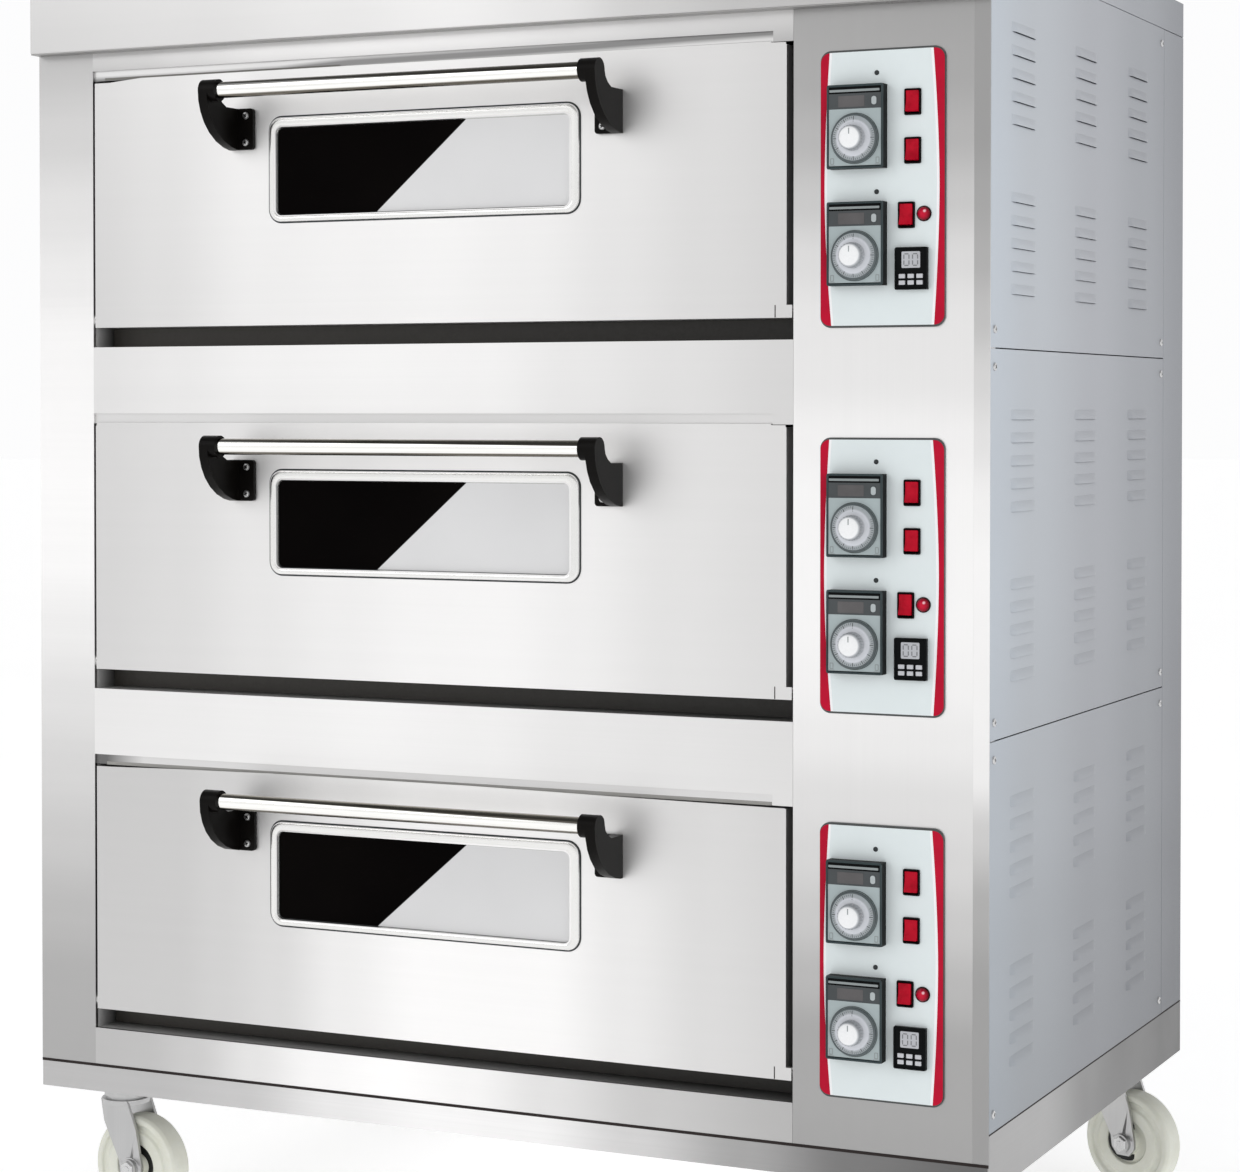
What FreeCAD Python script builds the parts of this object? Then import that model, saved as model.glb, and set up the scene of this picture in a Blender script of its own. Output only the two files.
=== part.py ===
import FreeCAD, Part
import Sketcher
import math
import os
import re

# Three-deck electric bakery oven on four swivel casters.
# Millimetres, +Z up, front facing -Y, controls on the +X side.
# Working coordinates: X from the casing's left face, Y from the front sheet
# towards the rear, Z from the floor.  Each sub-part's Placement moves it so
# that the origin is under the middle of the whole oven.

V = FreeCAD.Vector
doc = FreeCAD.newDocument("DeckOven")
sheet = doc.addObject("Spreadsheet::Sheet", "Dims")

rows = [
    ("centre_x", 615.0, "origin offset across"),
    ("centre_y", 374.5, "origin offset front to back"),
    ("body_wide", 1230.0, "casing width"),
    ("body_deep", 800.0, "casing depth"),
    ("body_low", 170.0, "underside of base frame"),
    ("base_top", 203.0, "top of front base rail"),
    ("skirt_top", 236.0, "top of side base rails"),
    ("roof_low", 1496.0, "lower edge of roof skirt"),
    ("roof_top", 1540.0, "roof sheet outer face"),
    ("crown_low", 1448.0, "lower edge of front crown"),
    ("crown_top", 1560.0, "upper edge of front crown"),
    ("crown_out", 18.0, "crown stand-out"),
    ("skin", 1.5, "casing sheet"),
    ("stile", 80.0, "left stile width"),
    ("column_x", 1005.0, "left edge of control column"),
    ("open_low", 249.0, "lowest door opening sill"),
    ("open_tall", 338.0, "door opening height"),
    ("pitch", 419.0, "deck pitch"),
    ("recess", 43.0, "door recess depth"),
    ("door_x", 83.0, "door left edge"),
    ("door_wide", 914.0, "door width"),
    ("door_up", 24.0, "door above sill"),
    ("door_tall", 299.0, "door height"),
    ("door_deep", 38.0, "door shell depth"),
    ("liner_t", 2.0, "door liner plate"),
    ("pivot_in", 10.0, "door pivot behind front face"),
    ("pivot_up", 10.0, "door pivot above door bottom"),
    ("tab_wide", 24.0, "header tab width"),
    ("lug_wide", 6.5, "door corner lug width"),
    ("lug_tall", 14.0, "door corner lug height"),
    ("pin_rad", 4.0, "hinge pin radius"),
    ("pin_bore", 4.05, "hinge bore radius"),
    ("win_x", 540.0, "window centre across"),
    ("win_up", 208.5, "window centre above sill"),
    ("glass_x", 538.5, "window aperture centre across"),
    ("glass_up", 206.5, "window aperture centre above sill"),
    ("glass_wide", 389.0, "window aperture width"),
    ("glass_tall", 105.0, "window aperture height"),
    ("bezel_wide", 409.0, "pressed surround width"),
    ("bezel_tall", 123.0, "pressed surround height"),
    ("bezel_out", 2.5, "pressed surround stand-out"),
    ("bar_out", 60.0, "handle bar axis stand-out"),
    ("bar_up", 299.0, "handle bar axis above sill"),
    ("bar_rad", 9.5, "handle bar radius"),
    ("grip_half", 259.0, "half span over brackets"),
    ("horn_t", 12.0, "bracket arm thickness"),
    ("foot_wide", 33.0, "bracket foot width"),
    ("fascia_x", 1038.0, "control fascia left edge"),
    ("fascia_wide", 142.0, "control fascia width"),
    ("fascia_up", 12.0, "control fascia above sill"),
    ("fascia_tall", 300.0, "control fascia height"),
    ("fascia_t", 3.0, "control fascia thickness"),
    ("ctl_wide", 64.0, "controller front width"),
    ("ctl_tall", 90.0, "controller front height"),
    ("ctl_out", 14.0, "controller front stand-out"),
    ("ctl_x", 1051.0, "controller left edge"),
    ("ctl_gap", 126.0, "spacing of the two controllers"),
    ("ctl_up", 57.0, "lower controller above sill"),
    ("dial_rad", 26.0, "dial skirt radius"),
    ("cap_rad", 12.5, "dial cap radius"),
    ("dial_up", 32.0, "dial axis above controller bottom"),
    ("shaft_rad", 3.0, "dial shaft radius"),
    ("rock_wide", 18.5, "rocker bezel width"),
    ("rock_tall", 28.0, "rocker bezel height"),
    ("rock_out", 2.5, "rocker bezel stand-out"),
    ("timer_x", 1126.0, "timer left edge"),
    ("timer_up", 52.0, "timer above sill"),
    ("timer_wide", 36.0, "timer front width"),
    ("timer_tall", 45.0, "timer front height"),
    ("timer_out", 6.0, "timer front stand-out"),
    ("key_wide", 7.0, "timer key width"),
    ("key_tall", 4.6, "timer key height"),
    ("lamp_rad", 7.5, "signal lamp radius"),
    ("lamp_x", 1157.0, "signal lamp across"),
    ("lamp_up", 133.0, "signal lamp above sill"),
    ("cav_x", 100.0, "baking chamber left wall"),
    ("cav_wide", 860.0, "baking chamber width"),
    ("cav_deep", 672.0, "baking chamber depth"),
    ("cav_up", 62.0, "baking chamber floor above sill"),
    ("cav_tall", 220.0, "baking chamber height"),
    ("hearth_up", 86.0, "hearth plate underside above sill"),
    ("hearth_t", 4.0, "hearth plate"),
    ("tube_rad", 4.0, "heating tube radius"),
    ("panel_y", 2.0, "side panel front edge"),
    ("panel_back", 703.0, "side panel rear edge"),
    ("panel_step", 420.0, "side panel pitch"),
    ("slot_long", 80.0, "louvre slot length"),
    ("slot_tall", 5.0, "louvre slot height"),
    ("gland_x", 1120.0, "cable gland across"),
    ("gland_z", 330.0, "cable gland height"),
    ("gland_rad", 16.0, "cable gland thread radius"),
    ("gland_bore", 9.0, "cable gland bore radius"),
    ("wheel_rad", 63.5, "caster wheel radius"),
    ("wheel_half", 16.0, "half tread width"),
    ("trail", 27.0, "caster trail"),
    ("axle_rad", 8.0, "caster axle radius"),
    ("axle_bore", 8.06, "caster wheel bore radius"),
    ("leg_in", 19.5, "fork leg inner face"),
    ("leg_t", 4.0, "fork leg thickness"),
    ("king_rad", 8.0, "king pin radius"),
    ("king_bore", 8.4, "fork crown bore radius"),
]
for i, (alias, number, note) in enumerate(rows, start=1):
    sheet.set("A%d" % i, note)
    sheet.set("B%d" % i, str(number))
    sheet.setAlias("B%d" % i, alias)
doc.recompute()
D = dict((alias, float(sheet.get(alias))) for alias, number, note in rows)
NAMES = sorted(D, key=len, reverse=True)
WORD = re.compile(r"\b(" + "|".join(NAMES) + r")\b")


def ex(text):
    return WORD.sub(r"Dims.\1", str(text))


def bind(obj, prop, text):
    obj.setExpression(prop, ex(text))


def at(obj, x, y, z):
    bind(obj, "Placement.Base.x", x)
    bind(obj, "Placement.Base.y", y)
    bind(obj, "Placement.Base.z", z)
    return obj


def box(x, y, z, lx, ly, lz):
    o = doc.addObject("Part::Box", "Block")
    bind(o, "Length", lx)
    bind(o, "Width", ly)
    bind(o, "Height", lz)
    return at(o, x, y, z)


TURN = {"X": FreeCAD.Rotation(V(0, 1, 0), 90), "Y": FreeCAD.Rotation(V(1, 0, 0), -90), "Z": FreeCAD.Rotation()}


def rod(x, y, z, rad, length, axis="Z"):
    o = doc.addObject("Part::Cylinder", "Rod")
    bind(o, "Radius", rad)
    bind(o, "Height", length)
    o.Placement = FreeCAD.Placement(V(0, 0, 0), TURN[axis])
    return at(o, x, y, z)


def cut(base, *tools):
    t = tools[0] if len(tools) == 1 else fuse(*tools)
    o = doc.addObject("Part::Cut", "Cut")
    o.Base = base
    o.Tool = t
    return o


def fuse(*parts):
    o = doc.addObject("Part::MultiFuse", "Fuse")
    o.Shapes = list(parts)
    o.Refine = True
    return o


def group(*parts):
    o = doc.addObject("Part::Compound", "Group")
    o.Links = list(parts)
    return o


SUBS = []


def sub(label, obj, x="0", y="0", z="0"):
    # names a sub-part and moves it into the oven's own frame
    obj.Label = label
    at(obj, "%s - centre_x" % x, "%s - centre_y" % y, z)
    SUBS.append((label, obj))
    return obj


# ---- sketch helpers -------------------------------------------------------

def body(name):
    return doc.addObject("PartDesign::Body", name)


def sketch(b, role, name="Sketch", off=0.0, off_text=None):
    s = b.newObject("Sketcher::SketchObject", name)
    for f in b.Origin.OriginFeatures:
        if f.Role == role:
            s.AttachmentSupport = [(f, "")]
    s.MapMode = "FlatFace"
    if off_text is not None:
        bind(s, "AttachmentOffset.Base.z", off_text)
    else:
        s.AttachmentOffset = FreeCAD.Placement(V(0, 0, off), FreeCAD.Rotation())
    return s


def dim(s, kind, geo, point, text):
    # signed distance from the sketch origin to a vertex, bound to the sheet
    n = s.addConstraint(Sketcher.Constraint(kind, -1, 1, geo, point, 1.0))
    s.setExpression("Constraints[%d]" % n, ex(text))


def rect(s, x0, y0, x1, y1):
    base = s.GeometryCount
    p = [V(1, 1, 0), V(9, 1, 0), V(9, 6, 0), V(1, 6, 0)]
    for i in range(4):
        s.addGeometry(Part.LineSegment(p[i], p[(i + 1) % 4]), False)
    for i in range(4):
        s.addConstraint(Sketcher.Constraint("Coincident", base + i, 2, base + (i + 1) % 4, 1))
    for i in (0, 2):
        s.addConstraint(Sketcher.Constraint("Horizontal", base + i))
    for i in (1, 3):
        s.addConstraint(Sketcher.Constraint("Vertical", base + i))
    dim(s, "DistanceX", base, 1, x0)
    dim(s, "DistanceY", base, 1, y0)
    dim(s, "DistanceX", base + 2, 1, x1)
    dim(s, "DistanceY", base + 2, 1, y1)


def rounded(s, x0, y0, x1, y1, r, guess):
    # rectangle with equal corner arcs; guess is (x0, y0, x1, y1, r) as numbers
    a, b, c, d, q = guess
    n = s.GeometryCount
    seg = [((a + q, b), (c - q, b)), ((c, b + q), (c, d - q)), ((c - q, d), (a + q, d)), ((a, d - q), (a, b + q))]
    cen = [(c - q, b + q, -90, 0), (c - q, d - q, 0, 90), (a + q, d - q, 90, 180), (a + q, b + q, 180, 270)]
    for i in range(4):
        (p0, p1), (cx, cy, a0, a1) = seg[i], cen[i]
        s.addGeometry(Part.LineSegment(V(p0[0], p0[1], 0), V(p1[0], p1[1], 0)), False)
        s.addGeometry(Part.ArcOfCircle(Part.Circle(V(cx, cy, 0), V(0, 0, 1), q), math.radians(a0), math.radians(a1)), False)
    for i in range(4):
        line, arc, nxt = n + 2 * i, n + 2 * i + 1, n + (2 * i + 2) % 8
        s.addConstraint(Sketcher.Constraint("Tangent", line, 2, arc, 1))
        s.addConstraint(Sketcher.Constraint("Tangent", arc, 2, nxt, 1))
    s.addConstraint(Sketcher.Constraint("Horizontal", n))
    s.addConstraint(Sketcher.Constraint("Vertical", n + 2))
    s.addConstraint(Sketcher.Constraint("Horizontal", n + 4))
    s.addConstraint(Sketcher.Constraint("Vertical", n + 6))
    for i in (1, 2, 3):
        s.addConstraint(Sketcher.Constraint("Equal", n + 1, n + 1 + 2 * i))
    k = s.addConstraint(Sketcher.Constraint("Radius", n + 1, q))
    s.setExpression("Constraints[%d]" % k, ex(r))
    dim(s, "DistanceY", n, 1, y0)
    dim(s, "DistanceX", n + 2, 1, x1)
    dim(s, "DistanceY", n + 4, 1, y1)
    dim(s, "DistanceX", n + 6, 1, x0)


def circle(s, x, y, r):
    n = s.GeometryCount
    s.addGeometry(Part.Circle(V(2, 2, 0), V(0, 0, 1), 3.0), False)
    dim(s, "DistanceX", n, 3, x)
    dim(s, "DistanceY", n, 3, y)
    k = s.addConstraint(Sketcher.Constraint("Radius", n, 3.0))
    s.setExpression("Constraints[%d]" % k, ex(r))


def outline(s, pts):
    # closed polygon; every vertex is bound to its own pair of expressions.
    # Each point is (x text, y text, x number, y number) or two plain numbers.
    n0 = s.GeometryCount
    full = [p if len(p) == 4 else (str(p[0]), str(p[1]), float(p[0]), float(p[1])) for p in pts]
    m = len(full)
    for i in range(m):
        a, b = full[i], full[(i + 1) % m]
        s.addGeometry(Part.LineSegment(V(a[2], a[3], 0), V(b[2], b[3], 0)), False)
    for i in range(m):
        s.addConstraint(Sketcher.Constraint("Coincident", n0 + i, 2, n0 + (i + 1) % m, 1))
    for i in range(m):
        dim(s, "DistanceX", n0 + i, 1, full[i][0])
        dim(s, "DistanceY", n0 + i, 1, full[i][1])


def pad(b, s, length, reverse=False, mid=False):
    f = b.newObject("PartDesign::Pad", "Pad")
    f.Profile = s
    bind(f, "Length", length)
    f.Reversed = reverse
    f.Midplane = mid
    b.Tip = f
    return f


def pocket(b, s, length, reverse=False, mid=False):
    f = b.newObject("PartDesign::Pocket", "Pocket")
    f.Profile = s
    bind(f, "Length", length)
    f.Reversed = reverse
    f.Midplane = mid
    b.Tip = f
    return f


def spin(b, s):
    f = b.newObject("PartDesign::Revolution", "Turned")
    f.Profile = s
    f.ReferenceAxis = (s, ["V_Axis"])
    f.Angle = 360.0
    b.Tip = f
    return f


def rows_up(b, feat, s, step_text, count, axis="V_Axis"):
    f = b.newObject("PartDesign::LinearPattern", "Rows")
    f.Originals = [feat]
    f.Direction = (s, [axis])
    bind(f, "Length", "(%s)*%d" % (step_text, count - 1))
    f.Occurrences = count
    b.Tip = f
    return f


DECKS = [("lower", 0), ("middle", 1), ("upper", 2)]


def sill(k):
    return "(open_low + pitch*%d)" % k


# ---- base frame and casters ----------------------------------------------
# Perimeter apron of 3 mm plate with an inward foot flange, four corner pads
# and two cross beams.  The front rail is lower than the side and rear rails.
apron = cut(box("0", "0", "body_low", "body_wide", "body_deep", "base_top - body_low"),
            box("3", "3", "body_low - 1", "body_wide - 6", "body_deep - 6", "base_top - body_low + 2"))
upper_rails = cut(box("0", "2", "base_top", "body_wide", "body_deep - 2", "skirt_top - base_top"),
                  box("3", "0", "base_top - 1", "body_wide - 6", "body_deep - 3", "skirt_top - base_top + 2"))
flange = cut(box("2", "2", "body_low", "body_wide - 4", "body_deep - 4", "3"),
             box("50", "50", "body_low - 1", "body_wide - 100", "body_deep - 100", "5"))
pads = [box(x, y, "body_low", "130", "120", "6") for x in ("2", "body_wide - 132") for y in ("2", "body_deep - 122")]
beams = [box(x, "2", "body_low + 3", "30", "body_deep - 4", "27") for x in ("380", "820")]
floor = box("2", "2", "body_low + 3", "body_wide - 4", "body_deep - 4", "skin")
sub("base_frame", fuse(apron, upper_rails, flange, floor, *(pads + beams)))

# swivel axes and the direction each caster trails, in degrees from +X
CASTERS = [
    ("front_left", "69", "80", -5.7),
    ("front_right", "body_wide - 69", "80", 62.0),
    ("rear_left", "69", "body_deep - 62", 198.3),
    ("rear_right", "body_wide - 69", "body_deep - 62", -18.3),
]
plates = []
for name, cx, cy, ang in CASTERS:
    plate = box("%s - 50" % cx, "%s - 42" % cy, "body_low - 6", "100", "84", "6")
    race = rod(cx, cy, "body_low - 20", "27", "15")
    king = rod(cx, cy, "136", "king_rad", "body_low - 140")
    head = rod(cx, cy, "135.6", "13", "4")
    bolts = [rod("%s + %d" % (cx, dx), "%s + %d" % (cy, dy), "body_low - 11", "6.5", "6") for dx in (-38, 38) for dy in (-30, 30)]
    plates.append(fuse(plate, race, king, head, *bolts))
sub("caster_plates", group(*plates))

for name, cx, cy, ang in CASTERS:
    ca, sa = math.cos(math.radians(ang)), math.sin(math.radians(ang))
    # fork: crown disc with bearing race, two tapered legs, axle hole
    b = body("Fork")
    s = sketch(b, "XY_Plane", off=140.0)
    circle(s, "0", "0", "30")
    pad(b, s, "6")
    s = sketch(b, "XY_Plane", off=146.0)
    circle(s, "0", "0", "25")
    pad(b, s, "3.6")
    for side in (1, -1):
        off = "-(leg_in + leg_t)" if side > 0 else "leg_in"
        s = sketch(b, "XZ_Plane", off_text=off)
        outline(s, [(-21, 146), (21, 146), ("trail + 8", "112", 35, 112), ("trail + 17", "wheel_rad + 4", 44, 67.5),
                    ("trail + 17", "wheel_rad - 6", 44, 57.5), ("trail + 9", "wheel_rad - 16", 36, 47.5),
                    ("trail - 9", "wheel_rad - 16", 18, 47.5), ("trail - 17", "wheel_rad - 6", 10, 57.5),
                    ("trail - 19", "wheel_rad + 8", 8, 71.5), (-16, 118)])
        pad(b, s, "leg_t")
    s = sketch(b, "XY_Plane", off=150.0)
    circle(s, "0", "0", "king_bore")
    pocket(b, s, "12")
    s = sketch(b, "XZ_Plane")
    circle(s, "trail", "wheel_rad", "axle_rad")
    pocket(b, s, "80", mid=True)
    axle = fuse(rod("trail", "-30", "wheel_rad", "axle_rad", "60", "Y"),
                rod("trail", "-30", "wheel_rad", "12", "30 - leg_in - leg_t", "Y"),
                rod("trail", "leg_in + leg_t", "wheel_rad", "12", "30 - leg_in - leg_t", "Y"))
    g = group(b, axle)
    g.Placement = FreeCAD.Placement(V(0, 0, 0), FreeCAD.Rotation(V(0, 0, 1), ang))
    sub("caster_fork_" + name, g, cx, cy, "0")
    # wheel: nylon tread with a raised ring, a hub recess and a boss
    w = body("Wheel")
    s = sketch(w, "XZ_Plane")
    outline(s, [("axle_bore", "-17", 8.06, -17), (15, -17), (17, -9), (27, -9), (29, -15), (43, -15), (45, -12),
                (52, -12), ("54", "-wheel_half", 54, -16),
                ("wheel_rad - 3", "-wheel_half", 60.5, -16), ("wheel_rad", "4 - wheel_half", 63.5, -12),
                ("wheel_rad", "wheel_half - 4", 63.5, 12), ("wheel_rad - 3", "wheel_half", 60.5, 16),
                ("54", "wheel_half", 54, 16), (52, 12), (45, 12), (43, 15), (29, 15), (27, 9), (17, 9), (15, 17),
                ("axle_bore", "17", 8.06, 17)])
    spin(w, s)
    w.Placement = FreeCAD.Placement(V(0, 0, 0), FreeCAD.Rotation(V(0, 0, 1), ang).multiply(FreeCAD.Rotation(V(1, 0, 0), -90)))
    sub("caster_wheel_" + name, w, "%s + trail*(%.6f)" % (cx, ca), "%s + trail*(%.6f)" % (cy, sa), "wheel_rad")

# ---- casing ---------------------------------------------------------------
# face frame: left stile, sill rail, two bands and head rail, each a folded
# strip with returns round the door openings and a set-back header over a door,
# which has a flush tab at its right-hand end
stile = [box("0", "0", "base_top", "stile", "skin", "crown_low - base_top")]
for name, k in DECKS:
    stile.append(box("stile - skin", "0", sill(k), "skin", "recess", "open_tall"))
strips = [fuse(*stile)]
strips.append(fuse(box("stile", "0", "base_top", "column_x - stile", "skin", "open_low - base_top"),
                   box("stile", "0", "open_low - skin", "column_x - stile", "recess", "skin")))
for name, k in DECKS:
    top = sill(k) + " + open_tall"
    tall = "crown_low - open_low - open_tall - 2*pitch" if k == 2 else "pitch - open_tall"
    piece = [box("stile", "0", top, "column_x - stile", "skin", tall),
             box("stile", "0", top, "column_x - stile", "recess", "skin"),
             box("stile", "3", top + " - 12", "column_x - stile", "skin", "13"),
             box("column_x - tab_wide", "0", top + " - 12", "tab_wide", "3.5", "12.5")]
    if k < 2:
        piece.append(box("stile", "0", top + " + pitch - open_tall - skin", "column_x - stile", "recess", "skin"))
    strips.append(fuse(*piece))
sub("front_frame", group(*strips))

# control column: front sheet with three instrument cut-outs, the partition
# wall beside the chambers and a folded lip on the outer edge
b = body("Column")
s = sketch(b, "XZ_Plane")
rect(s, "column_x", "base_top", "body_wide", "crown_low")
pad(b, s, "skin", reverse=True)
s = sketch(b, "XZ_Plane")
rect(s, "column_x", "base_top", "column_x + skin", "crown_low")
pad(b, s, "722", reverse=True)
s = sketch(b, "XZ_Plane")
rect(s, "body_wide - 2*skin - 0.5", "skirt_top", "body_wide - skin - 0.5", "crown_low")
pad(b, s, "24", reverse=True)
s = sketch(b, "XZ_Plane", off=1.0)
rect(s, "fascia_x + 9", "open_low + fascia_up + 12", "fascia_x + fascia_wide - 9", "open_low + fascia_up + fascia_tall - 12")
p = pocket(b, s, "6")
rows_up(b, p, s, "pitch", 3)
sub("control_column", b)

# side panels: three louvred sheets on the right, three plain on the left
panels = []
for k in range(3):
    b = body("LouvredPanel")
    s = sketch(b, "YZ_Plane", off_text="body_wide - skin")
    rect(s, "panel_y", "skirt_top + 0.6", "panel_back", "skirt_top + panel_step - 0.6")
    pad(b, s, "skin")
    s = sketch(b, "YZ_Plane", off_text="body_wide + 1")
    for y0 in (75, 315, 540):
        rect(s, str(y0), "skirt_top + 62 - slot_tall/2", "%d + slot_long" % y0, "skirt_top + 62 + slot_tall/2")
        rect(s, str(y0), "skirt_top + 246 - slot_tall/2", "%d + slot_long" % y0, "skirt_top + 246 + slot_tall/2")
    p = pocket(b, s, "4")
    rows_up(b, p, s, "25", 5)
    at(b, "0", "0", "panel_step*%d" % k)
    panels.append(b)
    panels.append(box("0", "panel_y", "skirt_top + 0.6 + panel_step*%d" % k, "skin", "panel_back - panel_y", "panel_step - 1.2"))
sub("side_panels", group(*panels))

# rear pan: back sheet with side returns that wrap both rear corners
rear = cut(box("0", "panel_back + 1", "skirt_top + 0.6", "body_wide", "body_deep - panel_back - 1", "roof_low - skirt_top - 1.2"),
           box("skin", "panel_back", "skirt_top", "body_wide - 2*skin", "body_deep - panel_back - skin", "roof_low - skirt_top"))
rear = cut(rear, rod("gland_x", "body_deep - 10", "gland_z", "gland_rad + 0.3", "20", "Y"))
sub("rear_panel", rear)

# roof sheet with a folded skirt on three sides
sub("top_cover", cut(box("0", "0", "roof_low", "body_wide", "body_deep", "roof_top - roof_low"),
                     box("skin", "-5", "roof_low - 1", "body_wide - 2*skin", "body_deep + 5 - skin", "roof_top - roof_low + 1 - skin")))

# crown: folded channel across the front under and above the roof edge
sub("crown", cut(box("0", "-crown_out", "crown_low", "body_wide", "crown_out", "crown_top - crown_low"),
                 box("skin", "skin - crown_out", "crown_low + skin", "body_wide - 2*skin", "crown_out", "crown_top - crown_low - 2*skin")))

# ---- baking chambers ------------------------------------------------------
liners, hearths = [], []
ELEMENT_Y = (150.0, 340.0, 530.0)
for name, k in DECKS:
    z = sill(k)
    wide, tall = "cav_wide + 2*skin", "cav_tall + 2*skin"
    left = box("cav_x - skin", "recess + skin", z + " + cav_up - skin", "skin", "cav_deep", tall)
    right = box("cav_x + cav_wide", "recess + skin", z + " + cav_up - skin", "skin", "cav_deep", tall)
    bottom = box("cav_x", "recess + skin", z + " + cav_up - skin", "cav_wide", "cav_deep", "skin")
    roof = box("cav_x", "recess + skin", z + " + cav_up + cav_tall", "cav_wide", "cav_deep", "skin")
    back = box("cav_x - skin", "recess + cav_deep + skin", z + " + cav_up - skin", wide, "skin", tall)
    frame = [box("stile", "recess", z + " - skin", "cav_x - stile", "skin", "open_tall + 2*skin"),
             box("cav_x + cav_wide", "recess", z + " - skin", "column_x - cav_x - cav_wide", "skin", "open_tall + 2*skin"),
             box("cav_x", "recess", z + " - skin", "cav_wide", "skin", "cav_up + skin"),
             box("cav_x", "recess", z + " + cav_up + cav_tall", "cav_wide", "skin", "open_tall - cav_up - cav_tall + skin")]
    holes = []
    for y0 in ELEMENT_Y:
        for dy in (-30, 30):
            for up in ("cav_up + 10", "cav_up + cav_tall - 12"):
                holes.append(rod("cav_x + cav_wide - 3", "%s + recess" % (y0 + dy), z + " + " + up, "tube_rad + 0.4", "8", "X"))
    for up in ("cav_up + 14", "cav_up + cav_tall - 12"):
        holes.append(rod("cav_x + cav_wide - 3", "recess + 245", z + " + " + up, "3.4", "8", "X"))
    liners.extend([left, cut(right, *holes), bottom, roof, back] + frame)
    plate = box("cav_x + 4", "recess + 10", z + " + hearth_up", "cav_wide - 8", "cav_deep - 14", "hearth_t")
    feet = [box("cav_x + 4", "recess + %d" % y0, z + " + cav_up", "cav_wide - 8", "4", "hearth_up - cav_up + 1") for y0 in (30, 215, 435, 650)]
    hearths.append(fuse(plate, *feet))
sub("chamber_liners", group(*liners))
sub("hearth_plates", group(*hearths))

# tubular heaters: hairpins under the hearth and under the chamber roof,
# with the capillary probes of the two controllers of each deck
tubes = []
for name, k in DECKS:
    z0 = D["open_low"] + D["pitch"] * k
    x1 = D["cav_x"] + D["cav_wide"] + 9.0
    x0 = D["cav_x"] + 50.0
    for y0 in ELEMENT_Y:
        for up in (D["cav_up"] + 10.0, D["cav_up"] + D["cav_tall"] - 12.0):
            yc, zc = y0 + D["recess"], z0 + up
            path = Part.Wire([
                Part.LineSegment(V(x1, yc - 30, zc), V(x0, yc - 30, zc)).toShape(),
                Part.Arc(V(x0, yc - 30, zc), V(x0 - 30, yc, zc), V(x0, yc + 30, zc)).toShape(),
                Part.LineSegment(V(x0, yc + 30, zc), V(x1, yc + 30, zc)).toShape()])
            ring = Part.Wire([Part.Circle(V(x1, yc - 30, zc), V(1, 0, 0), D["tube_rad"]).toShape()])
            tubes.append(path.makePipeShell([ring], True, True))
    for up in (D["cav_up"] + 14.0, D["cav_up"] + D["cav_tall"] - 12.0):
        tubes.append(Part.makeCylinder(3.0, 119.0, V(x1 - 119.0, D["recess"] + 245.0, z0 + up), V(1, 0, 0)))
f = doc.addObject("Part::Feature", "Heaters")
f.Shape = Part.makeCompound(tubes)
sub("heating_elements", f)

# mineral wool slabs round and between the chambers
wool = [box("cav_x - 36", "recess + 12", "base_top + 12", "30", "cav_deep - 6", "1225"),
        box("cav_x + cav_wide + 15", "recess + 12", "base_top + 12", "26", "cav_deep - 6", "1225"),
        box("cav_x", "recess + cav_deep + 6", "base_top + 12", "cav_wide", "30", "1225")]
for name, k in DECKS:
    wool.append(box("cav_x", "recess + 12", sill(k) + " + cav_up - 34", "cav_wide", "cav_deep - 10", "30"))
    wool.append(box("cav_x", "recess + 12", sill(k) + " + cav_up + cav_tall + 4", "cav_wide", "cav_deep - 10", "30"))
sub("insulation", group(*wool))

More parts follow.
